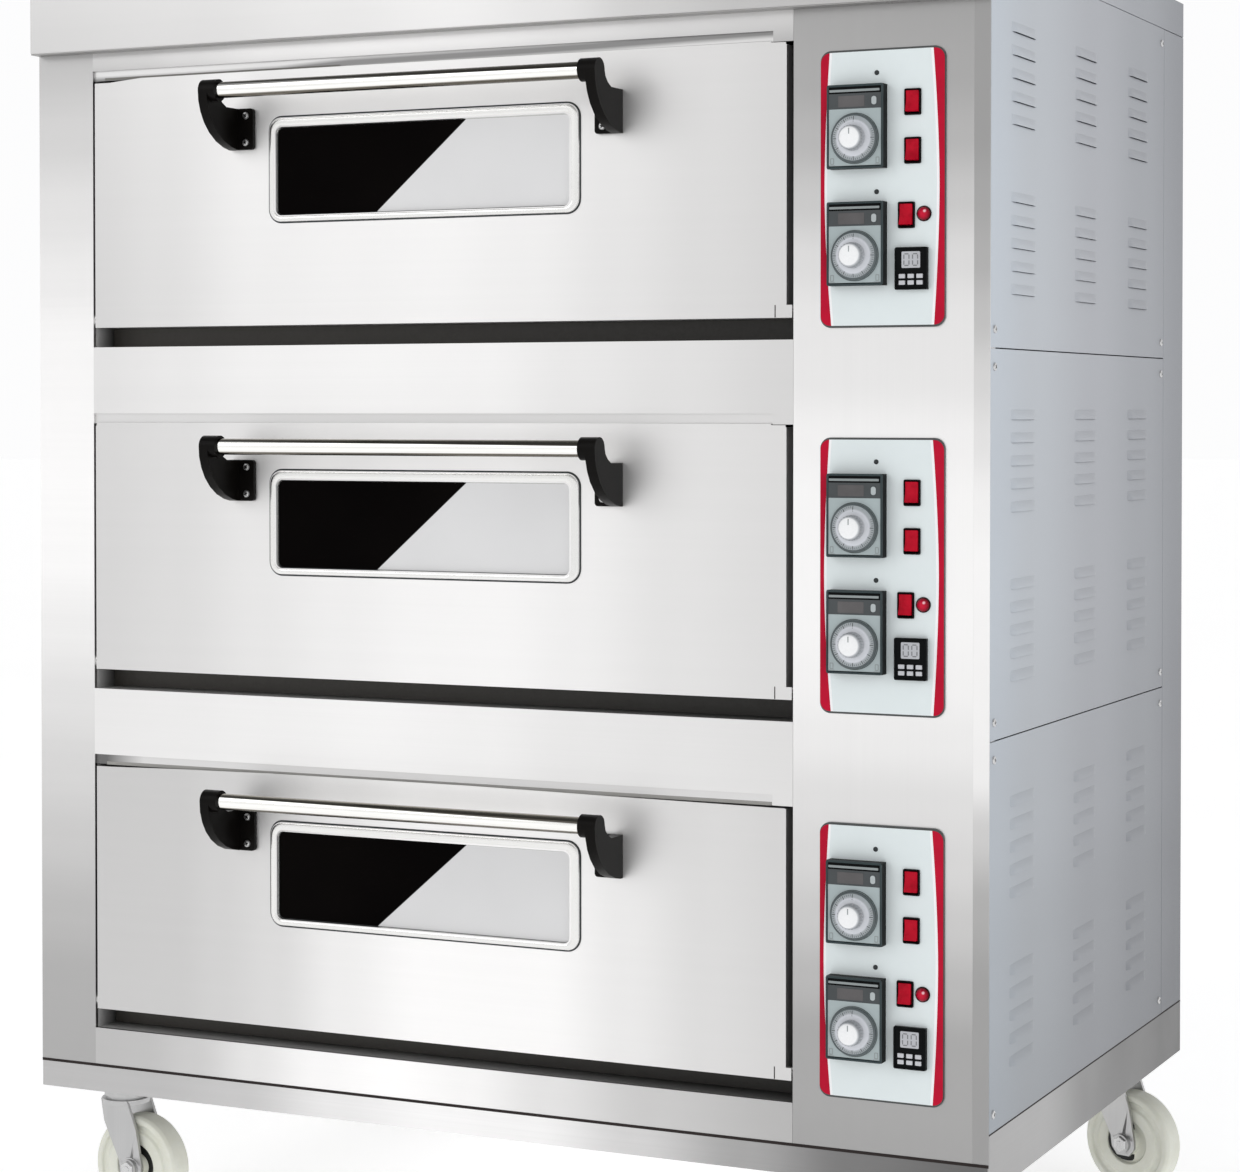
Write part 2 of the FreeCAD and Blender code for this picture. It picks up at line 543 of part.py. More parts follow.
# ---- controls -------------------------------------------------------------
# rocker centres across and above the sill: two heater switches and the light
ROCKERS = [("a", 1144.25, 253.0), ("b", 1144.25, 201.0), ("c", 1137.25, 132.0)]
fascias, instruments, switches, lamps = [], [], [], []
for name, k in DECKS:
    z = sill(k)
    zf = D["open_low"] + D["pitch"] * k
    # fascia plate with its instrument cut-outs
    b = body("Fascia")
    s = sketch(b, "XZ_Plane")
    x0, y0 = D["fascia_x"], zf + D["fascia_up"]
    rounded(s, "fascia_x", z + " + fascia_up", "fascia_x + fascia_wide", z + " + fascia_up + fascia_tall", "12",
            (x0, y0, x0 + D["fascia_wide"], y0 + D["fascia_tall"], 12.0))
    pad(b, s, "fascia_t")
    s = sketch(b, "XZ_Plane", off=6.0)
    for j in (0, 1):
        rect(s, "ctl_x + 2", z + " + ctl_up + 3 + ctl_gap*%d" % j, "ctl_x + ctl_wide - 2", z + " + ctl_up + ctl_tall - 3 + ctl_gap*%d" % j)
    for tag, rx, rz in ROCKERS:
        rect(s, "%s - 8.6" % rx, z + " + %s - 13.2" % rz, "%s + 8.6" % rx, z + " + %s + 13.2" % rz)
    rect(s, "timer_x + 2", z + " + timer_up + 2", "timer_x + timer_wide - 2", z + " + timer_up + timer_tall - 2")
    circle(s, "lamp_x", z + " + lamp_up", "4.3")
    pocket(b, s, "12")
    fascias.append(b)
    # temperature controllers: front frame, case behind, bore for the dial
    for j, tag in ((0, "bottom"), (1, "top")):
        c = body("Controller")
        s = sketch(c, "XZ_Plane", off_text="fascia_t")
        up = z + " + ctl_up + ctl_gap*%d" % j
        rect(s, "ctl_x", up, "ctl_x + ctl_wide", up + " + ctl_tall")
        pad(c, s, "ctl_out")
        s = sketch(c, "XZ_Plane", off_text="fascia_t + 0.01")
        rect(s, "ctl_x + 2.3", up + " + 3.3", "ctl_x + ctl_wide - 2.3", up + " + ctl_tall - 3.3")
        pad(c, s, "62", reverse=True)
        s = sketch(c, "XZ_Plane", off_text="fascia_t + ctl_out + 1")
        circle(s, "ctl_x + ctl_wide/2", up + " + dial_up", "shaft_rad + 0.06")
        pocket(c, s, "14")
        instruments.append(c)
        # dial: graduated skirt, cone, cap and stub shaft
        q = body("Dial")
        s = sketch(q, "XZ_Plane")
        outline(s, [("0", "-9", 0, -9), ("shaft_rad", "-9", 3, -9), ("shaft_rad", "0.6", 3, 0.6), ("dial_rad - 1", "0.6", 25, 0.6),
                    ("dial_rad", "1.6", 26, 1.6), ("dial_rad - 1", "4.2", 25, 4.2), ("cap_rad + 5", "5.6", 17.5, 5.6),
                    ("cap_rad + 1", "7", 13.5, 7), ("cap_rad", "16", 12.5, 16), ("cap_rad - 2", "18", 10.5, 18), ("0", "18.6", 0, 18.6)])
        spin(q, s)
        q.Placement = FreeCAD.Placement(V(0, 0, 0), FreeCAD.Rotation(V(1, 0, 0), 90))
        sub("temperature_dial_%s_%s" % (name, tag), q, "ctl_x + ctl_wide/2", "-fascia_t - ctl_out", up + " + dial_up")
    # bake timer: display front, case behind and six blind key pockets
    c = body("Timer")
    s = sketch(c, "XZ_Plane", off_text="fascia_t")
    rect(s, "timer_x", z + " + timer_up", "timer_x + timer_wide", z + " + timer_up + timer_tall")
    pad(c, s, "timer_out")
    s = sketch(c, "XZ_Plane", off_text="fascia_t + 0.01")
    rect(s, "timer_x + 2.3", z + " + timer_up + 2.3", "timer_x + timer_wide - 2.3", z + " + timer_up + timer_tall - 2.3")
    pad(c, s, "52", reverse=True)
    s = sketch(c, "XZ_Plane", off_text="fascia_t + timer_out + 1")
    keys = []
    for col in (-1, 0, 1):
        for row in (0, 1):
            kx = "timer_x + timer_wide/2 + %d - key_wide/2" % (10 * col)
            kz = z + " + timer_up + 5 + %d" % (7 * row)
            rect(s, kx + " - 0.3", kz + " - 0.3", kx + " + key_wide + 0.3", kz + " + key_tall + 0.3")
            keys.append(box(kx, "-fascia_t - timer_out - 1.2", kz, "key_wide", "3.2", "key_tall"))
    pocket(c, s, "4.4")
    instruments.append(c)
    sub("timer_keys_" + name, group(*keys))
    # rocker switches: open-fronted body with a tilting paddle
    for tag, rx, rz in ROCKERS:
        c = body("Switch")
        s = sketch(c, "XZ_Plane", off_text="fascia_t")
        rect(s, "%s - rock_wide/2" % rx, z + " + %s - rock_tall/2" % rz, "%s + rock_wide/2" % rx, z + " + %s + rock_tall/2" % rz)
        pad(c, s, "rock_out")
        s = sketch(c, "XZ_Plane", off_text="fascia_t + 0.01")
        rect(s, "%s - 8.3" % rx, z + " + %s - 13" % rz, "%s + 8.3" % rx, z + " + %s + 13" % rz)
        pad(c, s, "24", reverse=True)
        s = sketch(c, "XZ_Plane", off_text="fascia_t + rock_out + 1")
        rect(s, "%s - 7.5" % rx, z + " + %s - 12.3" % rz, "%s + 7.5" % rx, z + " + %s + 12.3" % rz)
        pocket(c, s, "14")
        switches.append(c)
        # paddle, tilted 8 degrees to its off position
        q = body("Paddle")
        s = sketch(q, "YZ_Plane")
        outline(s, [(-6.2, -11.2), (-5.0, -5.0), (-4.4, 0), (-5.0, 5.0), (-6.2, 11.2), (0.5, 11.0), (3.5, 5.0), (4.0, 0), (3.5, -5.0), (0.5, -11.0)])
        pad(q, s, "14.4", mid=True)
        q.Placement = FreeCAD.Placement(V(0, 0, 0), FreeCAD.Rotation(V(1, 0, 0), -8))
        sub("rocker_%s_%s" % (name, tag), q, str(rx), "-2.5", z + " + %s" % rz)
    # signal lamp: domed lens on a stem
    q = body("Lamp")
    s = sketch(q, "XZ_Plane")
    outline(s, [(0, -20), (4, -20), (4, 0), ("lamp_rad", "0", 7.5, 0), ("lamp_rad", "2", 7.5, 2), ("lamp_rad - 1.5", "4.5", 6, 4.5),
                ("lamp_rad - 4", "6", 3.5, 6), (0, 6.5)])
    spin(q, s)
    q.Placement = FreeCAD.Placement(V(0, 0, 0), FreeCAD.Rotation(V(1, 0, 0), 90))
    at(q, "lamp_x", "-fascia_t", z + " + lamp_up")
    lamps.append(q)
sub("control_fascias", group(*fascias))
sub("instrument_bodies", group(*instruments))
sub("switch_bodies", group(*switches))
sub("signal_lamps", group(*lamps))

# ---- electrics ------------------------------------------------------------
gear = []
for name, k in DECKS:
    z = sill(k)
    gear.append(fuse(box("column_x + skin", "300", z + " + 90", "78", "50", "85"), box("column_x + skin + 78", "306", z + " + 100", "10", "38", "65")))
    gear.append(fuse(box("column_x + skin", "370", z + " + 90", "78", "50", "85"), box("column_x + skin + 78", "376", z + " + 100", "10", "38", "65")))
gear.append(box("column_x + skin", "600", "300", "42", "60", "120"))
flang = fuse(rod("gland_x", "body_deep - 22", "gland_z", "gland_rad", "38", "Y"),
             rod("gland_x", "body_deep", "gland_z", "20", "8", "Y"),
             rod("gland_x", "body_deep - 8.5", "gland_z", "21", "7", "Y"),
             rod("gland_x", "body_deep + 7", "gland_z", "18", "15", "Y"))
gear.append(cut(flang, rod("gland_x", "body_deep - 30", "gland_z", "gland_bore", "60", "Y")))
sub("switchgear_and_gland", group(*gear))

# ---- screws ---------------------------------------------------------------
screws = []
for k in range(3):
    for side in (0, 1):
        x = "body_wide" if side else "-2"
        for yy, zz in ((14, 20), (14, 400), (690, 20), (690, 400)):
            screws.append(rod(x, str(yy), "skirt_top + %d + panel_step*%d" % (zz, k), "4.5", "2", "X"))
    for xx in (30, 615, 1200):
        screws.append(rod(str(xx), "body_deep", "skirt_top + 210 + panel_step*%d" % k, "4.5", "2", "Y"))
    for j in (0, 1):
        screws.append(rod("1103", "-fascia_t - 1.2", sill(k) + " + 158 + 128*%d" % j, "2.6", "1.2", "Y"))
sub("panel_screws", group(*screws))

# ---- doors ----------------------------------------------------------------
pins = []
for name, k in DECKS:
    z = sill(k)
    zf = D["open_low"] + D["pitch"] * k
    low = z + " + door_up"
    # shell: folded pan with pressed window surround, two hinge blocks and a
    # lug at the lower right-hand corner that covers the hinge
    b = body("DoorShell")
    s = sketch(b, "XZ_Plane")
    rect(s, "door_x", low, "door_x + door_wide", low + " + door_tall")
    pad(b, s, "door_deep", reverse=True)
    s = sketch(b, "XZ_Plane", off_text="-skin")
    rect(s, "door_x + skin", low + " + skin", "door_x + door_wide - skin", low + " + door_tall - skin")
    pocket(b, s, "door_deep + 5")
    wx, wz = D["win_x"], zf + D["win_up"]
    gx, gz = D["glass_x"], zf + D["glass_up"]
    s = sketch(b, "XZ_Plane")
    rounded(s, "win_x - bezel_wide/2", z + " + win_up - bezel_tall/2", "win_x + bezel_wide/2", z + " + win_up + bezel_tall/2", "15",
            (wx - D["bezel_wide"] / 2, wz - D["bezel_tall"] / 2, wx + D["bezel_wide"] / 2, wz + D["bezel_tall"] / 2, 15.0))
    pad(b, s, "bezel_out")
    s = sketch(b, "XZ_Plane", off=5.0)
    rounded(s, "glass_x - glass_wide/2", z + " + glass_up - glass_tall/2", "glass_x + glass_wide/2", z + " + glass_up + glass_tall/2", "8",
            (gx - D["glass_wide"] / 2, gz - D["glass_tall"] / 2, gx + D["glass_wide"] / 2, gz + D["glass_tall"] / 2, 8.0))
    pocket(b, s, "10")
    s = sketch(b, "XZ_Plane")
    rect(s, "door_x", low, "door_x + 20", low + " + 26")
    rect(s, "door_x + door_wide - 20", low, "door_x + door_wide", low + " + 26")
    pad(b, s, "30", reverse=True)
    s = sketch(b, "XZ_Plane")
    rect(s, "door_x + door_wide - 2", low, "door_x + door_wide + lug_wide", low + " + lug_tall")
    pad(b, s, "skin", reverse=True)
    s = sketch(b, "YZ_Plane")
    circle(s, "pivot_in", low + " + pivot_up", "pin_bore")
    pocket(b, s, "4000", mid=True)
    sub("door_panel_" + name, b)
    # inner pan with a tunnel that holds the two panes
    b = body("DoorLiner")
    s = sketch(b, "XZ_Plane", off_text="-door_deep")
    rect(s, "door_x + 0.5", low + " + 0.5", "door_x + door_wide - 0.5", low + " + door_tall - 0.5")
    pad(b, s, "liner_t", reverse=True)
    s = sketch(b, "XZ_Plane", off_text="-skin - 0.2")
    rect(s, "glass_x - glass_wide/2 - 6.5", z + " + glass_up - glass_tall/2 - 6.5", "glass_x + glass_wide/2 + 6.5", z + " + glass_up + glass_tall/2 + 6.5")
    pad(b, s, "door_deep - skin + 0.2", reverse=True)
    s = sketch(b, "XZ_Plane", off=5.0)
    rect(s, "glass_x - glass_wide/2 - 5", z + " + glass_up - glass_tall/2 - 5", "glass_x + glass_wide/2 + 5", z + " + glass_up + glass_tall/2 + 5")
    pocket(b, s, "60")
    sub("door_liner_" + name, b)
    panes = [box("glass_x - glass_wide/2 - 4.7", y, z + " + glass_up - glass_tall/2 - 4.7", "glass_wide + 9.4", "4", "glass_tall + 9.4") for y in ("skin + 0.3", "door_deep - 4.5")]
    sub("door_glass_" + name, group(*panes))
    # handle: polished tube between two moulded brackets
    bar = cut(rod("win_x - grip_half + 3", "-bar_out", z + " + bar_up", "bar_rad", "2*grip_half - 6", "X"),
              rod("win_x - grip_half", "-bar_out", z + " + bar_up", "bar_rad - 1.5", "2*grip_half", "X"))
    sub("handle_bar_" + name, group(bar))
    ends = []
    for side in (-1, 1):
        b = body("Bracket")
        off = "win_x - grip_half" if side < 0 else "win_x + grip_half - horn_t"
        s = sketch(b, "YZ_Plane", off_text=off)
        zb = z + " + bar_up"
        zn = zf + D["bar_up"]
        prof = [(-73, 0), (-72, -12), (-67.5, -25), (-60, -37), (-49, -48), (-35, -57), (-19, -63), (-6, -65.5), (0, -65.5), (0, -16.5),
                (-30, -16.5), (-39, -12), (-45, -6), (-47, 0), (-49, 7.5), (-55, 12), (-60, 13), (-66.5, 11.3), (-71.3, 6.5)]
        outline(s, [(str(y), "%s + (%s)" % (zb, dz), float(y), zn + dz) for y, dz in prof])
        pad(b, s, "horn_t")
        fx0 = "win_x - grip_half" if side < 0 else "win_x + grip_half - foot_wide"
        s = sketch(b, "XZ_Plane")
        fa = D["win_x"] - D["grip_half"] if side < 0 else D["win_x"] + D["grip_half"] - D["foot_wide"]
        rounded(s, fx0, zb + " - 65.5", fx0 + " + foot_wide", zb + " - 16.5", "4", (fa, zn - 65.5, fa + D["foot_wide"], zn - 16.5, 4.0))
        pad(b, s, "5")
        # sleeve over the end of the bar, and the bar's blind socket
        s = sketch(b, "YZ_Plane", off_text="win_x - grip_half" if side < 0 else "win_x + grip_half - horn_t - 10")
        circle(s, "-bar_out", zb, "13")
        pad(b, s, "horn_t + 10")
        s = sketch(b, "YZ_Plane", off_text="win_x - grip_half + 3" if side < 0 else "win_x + grip_half - 3")
        circle(s, "-bar_out", zb, "bar_rad")
        pocket(b, s, "40", reverse=(side < 0))
        ends.append(b)
        sx = "win_x - grip_half + horn_t + 11" if side < 0 else "win_x + grip_half - horn_t - 11"
        for dz in (-25, -57):
            ends.append(rod(sx, "-7", zb + " + (%d)" % dz, "4", "2", "Y"))
    sub("handle_brackets_" + name, group(*ends))
    # hinge pins with a collar on both jambs
    pins.append(fuse(rod("stile", "pivot_in", low + " + pivot_up", "pin_rad", "16", "X"),
                     rod("stile", "pivot_in", low + " + pivot_up", "9", "2", "X")))
    pins.append(fuse(rod("column_x - 24", "pivot_in", low + " + pivot_up", "pin_rad", "24", "X"),
                     rod("column_x - 1.5", "pivot_in", low + " + pivot_up", "7", "1.5", "X")))
sub("hinge_pins", group(*pins))

# ---- check and write ------------------------------------------------------
doc.recompute()
bad = [o.Name for o in doc.Objects if ("Invalid" in o.State or "Error" in o.State)]
if bad:
    raise RuntimeError("failed objects: " + ", ".join(bad))
labels = [label for label, o in SUBS]
if len(set(labels)) != len(labels) or len(labels) > 60:
    raise RuntimeError("labels: %d" % len(labels))
os.makedirs("parts", exist_ok=True)
for old in os.listdir("parts"):
    if old.endswith(".step"):
        os.remove(os.path.join("parts", old))
whole = FreeCAD.BoundBox()
for label, o in SUBS:
    shape = o.Shape
    if shape.isNull() or not shape.isValid() or not shape.Solids:
        raise RuntimeError("bad shape: " + label)
    whole.add(shape.BoundBox)
for label, o in SUBS:
    o.Shape.exportStep(os.path.join("parts", label + ".step"))
    print("%-28s solids %2d volume %.1f cm3" % (label, len(o.Shape.Solids), o.Shape.Volume / 1000.0))
print("nodes", len(SUBS))
print("box X %.2f..%.2f Y %.2f..%.2f Z %.2f..%.2f" % (whole.XMin, whole.XMax, whole.YMin, whole.YMax, whole.ZMin, whole.ZMax))
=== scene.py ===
import bpy
import bmesh
import math
from mathutils import Vector, Matrix, geometry


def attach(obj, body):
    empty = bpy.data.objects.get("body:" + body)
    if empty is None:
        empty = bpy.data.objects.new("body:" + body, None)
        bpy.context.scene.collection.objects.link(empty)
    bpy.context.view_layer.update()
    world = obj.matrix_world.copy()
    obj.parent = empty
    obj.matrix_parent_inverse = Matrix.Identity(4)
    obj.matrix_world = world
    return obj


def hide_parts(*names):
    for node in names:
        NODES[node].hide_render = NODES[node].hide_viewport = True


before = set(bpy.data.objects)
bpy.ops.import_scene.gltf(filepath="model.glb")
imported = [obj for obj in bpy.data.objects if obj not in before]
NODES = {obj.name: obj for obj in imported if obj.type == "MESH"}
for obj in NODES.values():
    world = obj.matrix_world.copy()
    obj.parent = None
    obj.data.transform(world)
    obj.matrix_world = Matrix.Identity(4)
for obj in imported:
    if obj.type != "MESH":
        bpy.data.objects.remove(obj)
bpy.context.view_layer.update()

# Working numbers are in the oven's own millimetres: X from the left face,
# Y from the front sheet towards the rear, Z from the floor.
MM, CX, CY = 0.001, 615.0, 374.5
DECKS = (("lower", 0), ("middle", 1), ("upper", 2))
CASTERS = (("front_left", 69.0, 80.0, -5.7), ("front_right", 1161.0, 80.0, 62.0),
           ("rear_left", 69.0, 738.0, 198.3), ("rear_right", 1161.0, 738.0, -18.3))
ROCKERS = (("a", 1144.25, 253.0), ("b", 1144.25, 201.0), ("c", 1137.25, 132.0))


def P(x, y, z):
    return ((x - CX) * MM, (y - CY) * MM, z * MM)


def sill(k):
    return 249.0 + 419.0 * k


# ---------------------------------------------------------------- camera
cam_data = bpy.data.cameras.new("camera")
cam = bpy.data.objects.new("camera", cam_data)
bpy.context.scene.collection.objects.link(cam)
bpy.context.scene.camera = cam
cam.location = (1.593, -3.3575, 1.008)
cam.rotation_euler = (math.radians(89.0), 0.0, math.radians(25.34))
cam_data.sensor_width = 36.0
cam_data.lens = 85.2
cam_data.shift_x = 0.0
cam_data.shift_y = -0.0992
cam_data.clip_start = 0.05
cam_data.clip_end = 200.0


# ---------------------------------------------------------------- material graphs
class Graph:
    def __init__(self, name):
        self.mat = bpy.data.materials.new(name)
        self.mat.use_nodes = True
        self.nt = self.mat.node_tree
        self.b = self.nt.nodes["Principled BSDF"]
        self.tc = self.nt.nodes.new("ShaderNodeTexCoord")
        self._xyz = None

    def put(self, socket, value):
        if isinstance(value, bpy.types.NodeSocket):
            self.nt.links.new(value, socket)
        elif value is not None:
            if hasattr(socket.default_value, "__len__") and not hasattr(value, "__len__"):
                value = (value,) * len(socket.default_value)
            if hasattr(value, "__len__") and len(value) == 3 and len(socket.default_value) == 4:
                value = tuple(value) + (1.0,)
            socket.default_value = value

    def const(self, **kw):
        for k, v in kw.items():
            self.put(self.b.inputs[k.replace("_", " ")], v)
        return self

    def xyz(self):
        if self._xyz is None:
            n = self.nt.nodes.new("ShaderNodeSeparateXYZ")
            self.put(n.inputs[0], self.tc.outputs["Object"])
            self._xyz = n.outputs
        return self._xyz

    def X(self):
        return self.calc("MULTIPLY_ADD", self.xyz()[0], 1000.0, CX)

    def Y(self):
        return self.calc("MULTIPLY_ADD", self.xyz()[1], 1000.0, CY)

    def Z(self):
        return self.calc("MULTIPLY", self.xyz()[2], 1000.0)

    def calc(self, op, a, b=None, c=None, clamp=False):
        n = self.nt.nodes.new("ShaderNodeMath")
        n.operation = op
        n.use_clamp = clamp
        for s, v in zip(n.inputs, (a, b, c)):
            self.put(s, v)
        return n.outputs[0]

    def mapping(self, scale, loc=(0, 0, 0), rot=(0, 0, 0)):
        n = self.nt.nodes.new("ShaderNodeMapping")
        self.put(n.inputs["Vector"], self.tc.outputs["Object"])
        n.inputs["Scale"].default_value = scale
        n.inputs["Location"].default_value = loc
        n.inputs["Rotation"].default_value = rot
        return n.outputs[0]

    def noise(self, vec, scale, detail=2.0, rough=0.5):
        n = self.nt.nodes.new("ShaderNodeTexNoise")
        self.put(n.inputs["Vector"], vec)
        n.inputs["Scale"].default_value = scale
        n.inputs["Detail"].default_value = detail
        n.inputs["Roughness"].default_value = rough
        return n.outputs[0]

    def cells(self, vec, scale, feature="F1"):
        n = self.nt.nodes.new("ShaderNodeTexVoronoi")
        n.feature = feature
        self.put(n.inputs["Vector"], vec)
        n.inputs["Scale"].default_value = scale
        return n.outputs[0]

    def fit(self, v, a, b, c, d, smooth=False):
        n = self.nt.nodes.new("ShaderNodeMapRange")
        n.interpolation_type = "SMOOTHSTEP" if smooth else "LINEAR"
        for s, q in zip(n.inputs, (v, a, b, c, d)):
            self.put(s, q)
        return n.outputs[0]

    def ramp(self, fac, stops, interp="LINEAR"):
        n = self.nt.nodes.new("ShaderNodeValToRGB")
        n.color_ramp.interpolation = interp
        el = n.color_ramp.elements
        while len(el) < len(stops):
            el.new(0.5)
        for e, (p, c) in zip(el, stops):
            e.position = p
            e.color = ((c, c, c) if not hasattr(c, "__len__") else tuple(c)) + (1.0,)
        self.put(n.inputs[0], fac)
        return n.outputs[0]

    def mix(self, fac, a, b, mode="MIX"):
        n = self.nt.nodes.new("ShaderNodeMix")
        n.data_type = "RGBA"
        n.blend_type = mode
        self.put(n.inputs[0], fac)
        self.put(n.inputs[6], a)
        self.put(n.inputs[7], b)
        return n.outputs[2]

    def bump(self, height, strength, dist):
        n = self.nt.nodes.new("ShaderNodeBump")
        n.inputs["Strength"].default_value = strength
        n.inputs["Distance"].default_value = dist
        self.put(n.inputs["Height"], height)
        self.put(self.b.inputs["Normal"], n.outputs[0])
        return self

    def tint(self, value, rgb):
        return self.mix(1.0, self.ramp(0.0, ((0, rgb), (1, rgb))), value, "MULTIPLY")


MATS = {}


def steel(name, rgb, rough=0.28, along="x", streak=0.02, cloud=0.02, tone=None, metallic=1.0, bump=0.03, spread=0.04, flat=None):
    g = Graph(name)
    long, wide = 1.3, 760.0
    scale = {"x": (long, wide, wide), "y": (wide, long, wide), "z": (wide, wide, long)}[along]
    lines = g.noise(g.mapping(scale), 1.0, 4.0, 0.65)
    coarse = g.noise(g.mapping(tuple(s * 0.12 for s in scale)), 1.0, 2.0, 0.5)
    cloudy = g.noise(g.mapping((1, 1, 1)), 2.3, 4.0, 0.6)
    v = g.fit(lines, 0.3, 0.7, 1.0 - streak, 1.0 + streak)
    v = g.calc("MULTIPLY", v, g.fit(coarse, 0.3, 0.7, 1.0 - streak * 0.6, 1.0 + streak * 0.6))
    v = g.calc("MULTIPLY", v, g.fit(cloudy, 0.3, 0.7, 1.0 - cloud, 1.0 + cloud))
    if tone is not None:
        v = g.calc("MULTIPLY", v, tone(g))
    grey = g.nt.nodes.new("ShaderNodeCombineColor")
    for i in range(3):
        g.put(grey.inputs[i], g.calc("MULTIPLY", v, rgb[i], clamp=True))
    g.put(g.b.inputs["Base Color"], grey.outputs[0])
    r = g.fit(lines, 0.25, 0.75, rough - spread, rough + spread)
    r = g.calc("ADD", r, g.fit(cloudy, 0.3, 0.7, -0.02, 0.03))
    g.put(g.b.inputs["Roughness"], r)
    g.put(g.b.inputs["Metallic"], flat(g) if flat else metallic)
    g.bump(lines, bump, 0.0002)
    MATS[name] = g.mat
    return g.mat


def plastic(name, rgb, rough=0.4, spec=0.4, grain=0.05, grain_size=900.0, vary=0.06, bump=0.08, coat=0.0, metallic=0.0):
    g = Graph(name)
    fine = g.noise(g.mapping((1, 1, 1)), grain_size, 3.0, 0.6)
    soft = g.noise(g.mapping((1, 1, 1)), 24.0, 3.0, 0.6)
    dark = tuple(c * (1.0 - vary) for c in rgb)
    light = tuple(min(1.0, c * (1.0 + vary)) for c in rgb)
    g.put(g.b.inputs["Base Color"], g.mix(g.fit(soft, 0.3, 0.7, 0.0, 1.0), dark, light))
    g.put(g.b.inputs["Roughness"], g.fit(fine, 0.3, 0.7, rough - grain, rough + grain))
    g.const(Metallic=metallic, Specular_IOR_Level=spec, Coat_Weight=coat, Coat_Roughness=0.06)
    g.bump(fine, bump, 0.0001)
    MATS[name] = g.mat
    return g.mat


def ramp_of(values, low, high):
    # brightness along a coordinate, as (millimetres, value) pairs
    def stops():
        return [((p - low) / (high - low), v) for p, v in values]
    return stops()


# painted reflections: brightness ramps multiplied into the front steel colours, along Z for the column, corner strip
# and stiles, along X for the frame bands, rails, doors and crown
COLUMN_TONE = ((203, .370), (261, .385), (326, .385), (391, .47), (456, .57), (522, .66), (587, .72), (652, .82),
               (717, .885), (782, .92), (847, .92), (912, .92), (978, .88), (1043, .80), (1108, .79), (1173, .71),
               (1238, .58), (1304, .465), (1369, .40), (1448, .375))
STRIP_TONE = ((203, .33), (391, .35), (480, .42), (560, .60), (620, .84), (700, .88), (782, .90), (847, .92), (912, .88),
              (978, .77), (1043, .67), (1108, .54), (1173, .44), (1238, .39), (1304, .345), (1448, .34))
STILE_TONE = ((203, .42), (307, .43), (393, .49), (480, .58), (566, .66), (652, .74), (739, .84), (825, .93), (912, .94),
              (998, .92), (1085, .89), (1171, .79), (1257, .70), (1344, .585), (1448, .46))
BAND_TONE = ((80, .74), (200, .79), (330, .85), (480, .88), (620, .87), (740, .80), (860, .74), (1005, .67))
BAND_LOW_TONE = ((80, .80), (200, .82), (330, .85), (480, .89), (620, .86), (740, .80), (860, .77), (1005, .73))
TOP_TONE = ((80, .40), (150, .42), (215, .46), (345, .54), (475, .57), (605, .575), (740, .535), (875, .48), (970, .455), (1005, .45))
RAIL_TONE = ((80, .50), (150, .52), (220, .59), (310, .76), (400, .91), (500, .97), (600, .90), (700, .75), (835, .58), (1005, .47))
DOOR_TONES = {
    "lower": ((83, .60), (200, .61), (260, .65), (340, .71), (430, .85), (540, .95), (700, .94), (800, .82), (900, .72), (997, .67)),
    "middle": ((83, .67), (200, .71), (320, .79), (430, .85), (540, .90), (640, .91), (740, .86), (860, .77), (997, .72)),
    "upper": ((83, .65), (180, .70), (320, .81), (450, .84), (560, .86), (680, .83), (790, .76), (900, .70), (997, .66)),
}
CROWN_TONE = ((0, .57), (240, .61), (430, .67), (600, .74), (720, .69), (830, .57), (960, .50), (1230, .46))


def along_z(values, low=203.0, high=1448.0):
    def tone(g):
        c = g.ramp(g.fit(g.Z(), low, high, 0.0, 1.0), ramp_of(values, low, high), "EASE")
        return c
    return tone


def along_x(values, low, high, skew=0.0):
    def tone(g):
        x = g.X()
        if skew:
            x = g.calc("ADD", x, g.calc("MULTIPLY", g.calc("SUBTRACT", g.Z(), 420.0), skew))
        return g.ramp(g.fit(x, low, high, 0.0, 1.0), ramp_of(values, low, high), "EASE")
    return tone


# height of the painted shadow band on the upper header: (value * 20 + 323) millimetres over the sill
HEADER_CLIMB = ((80, .11), (215, .11), (345, .15), (440, .40), (605, .45), (740, .50), (875, .635), (970, .70), (1005, .70))
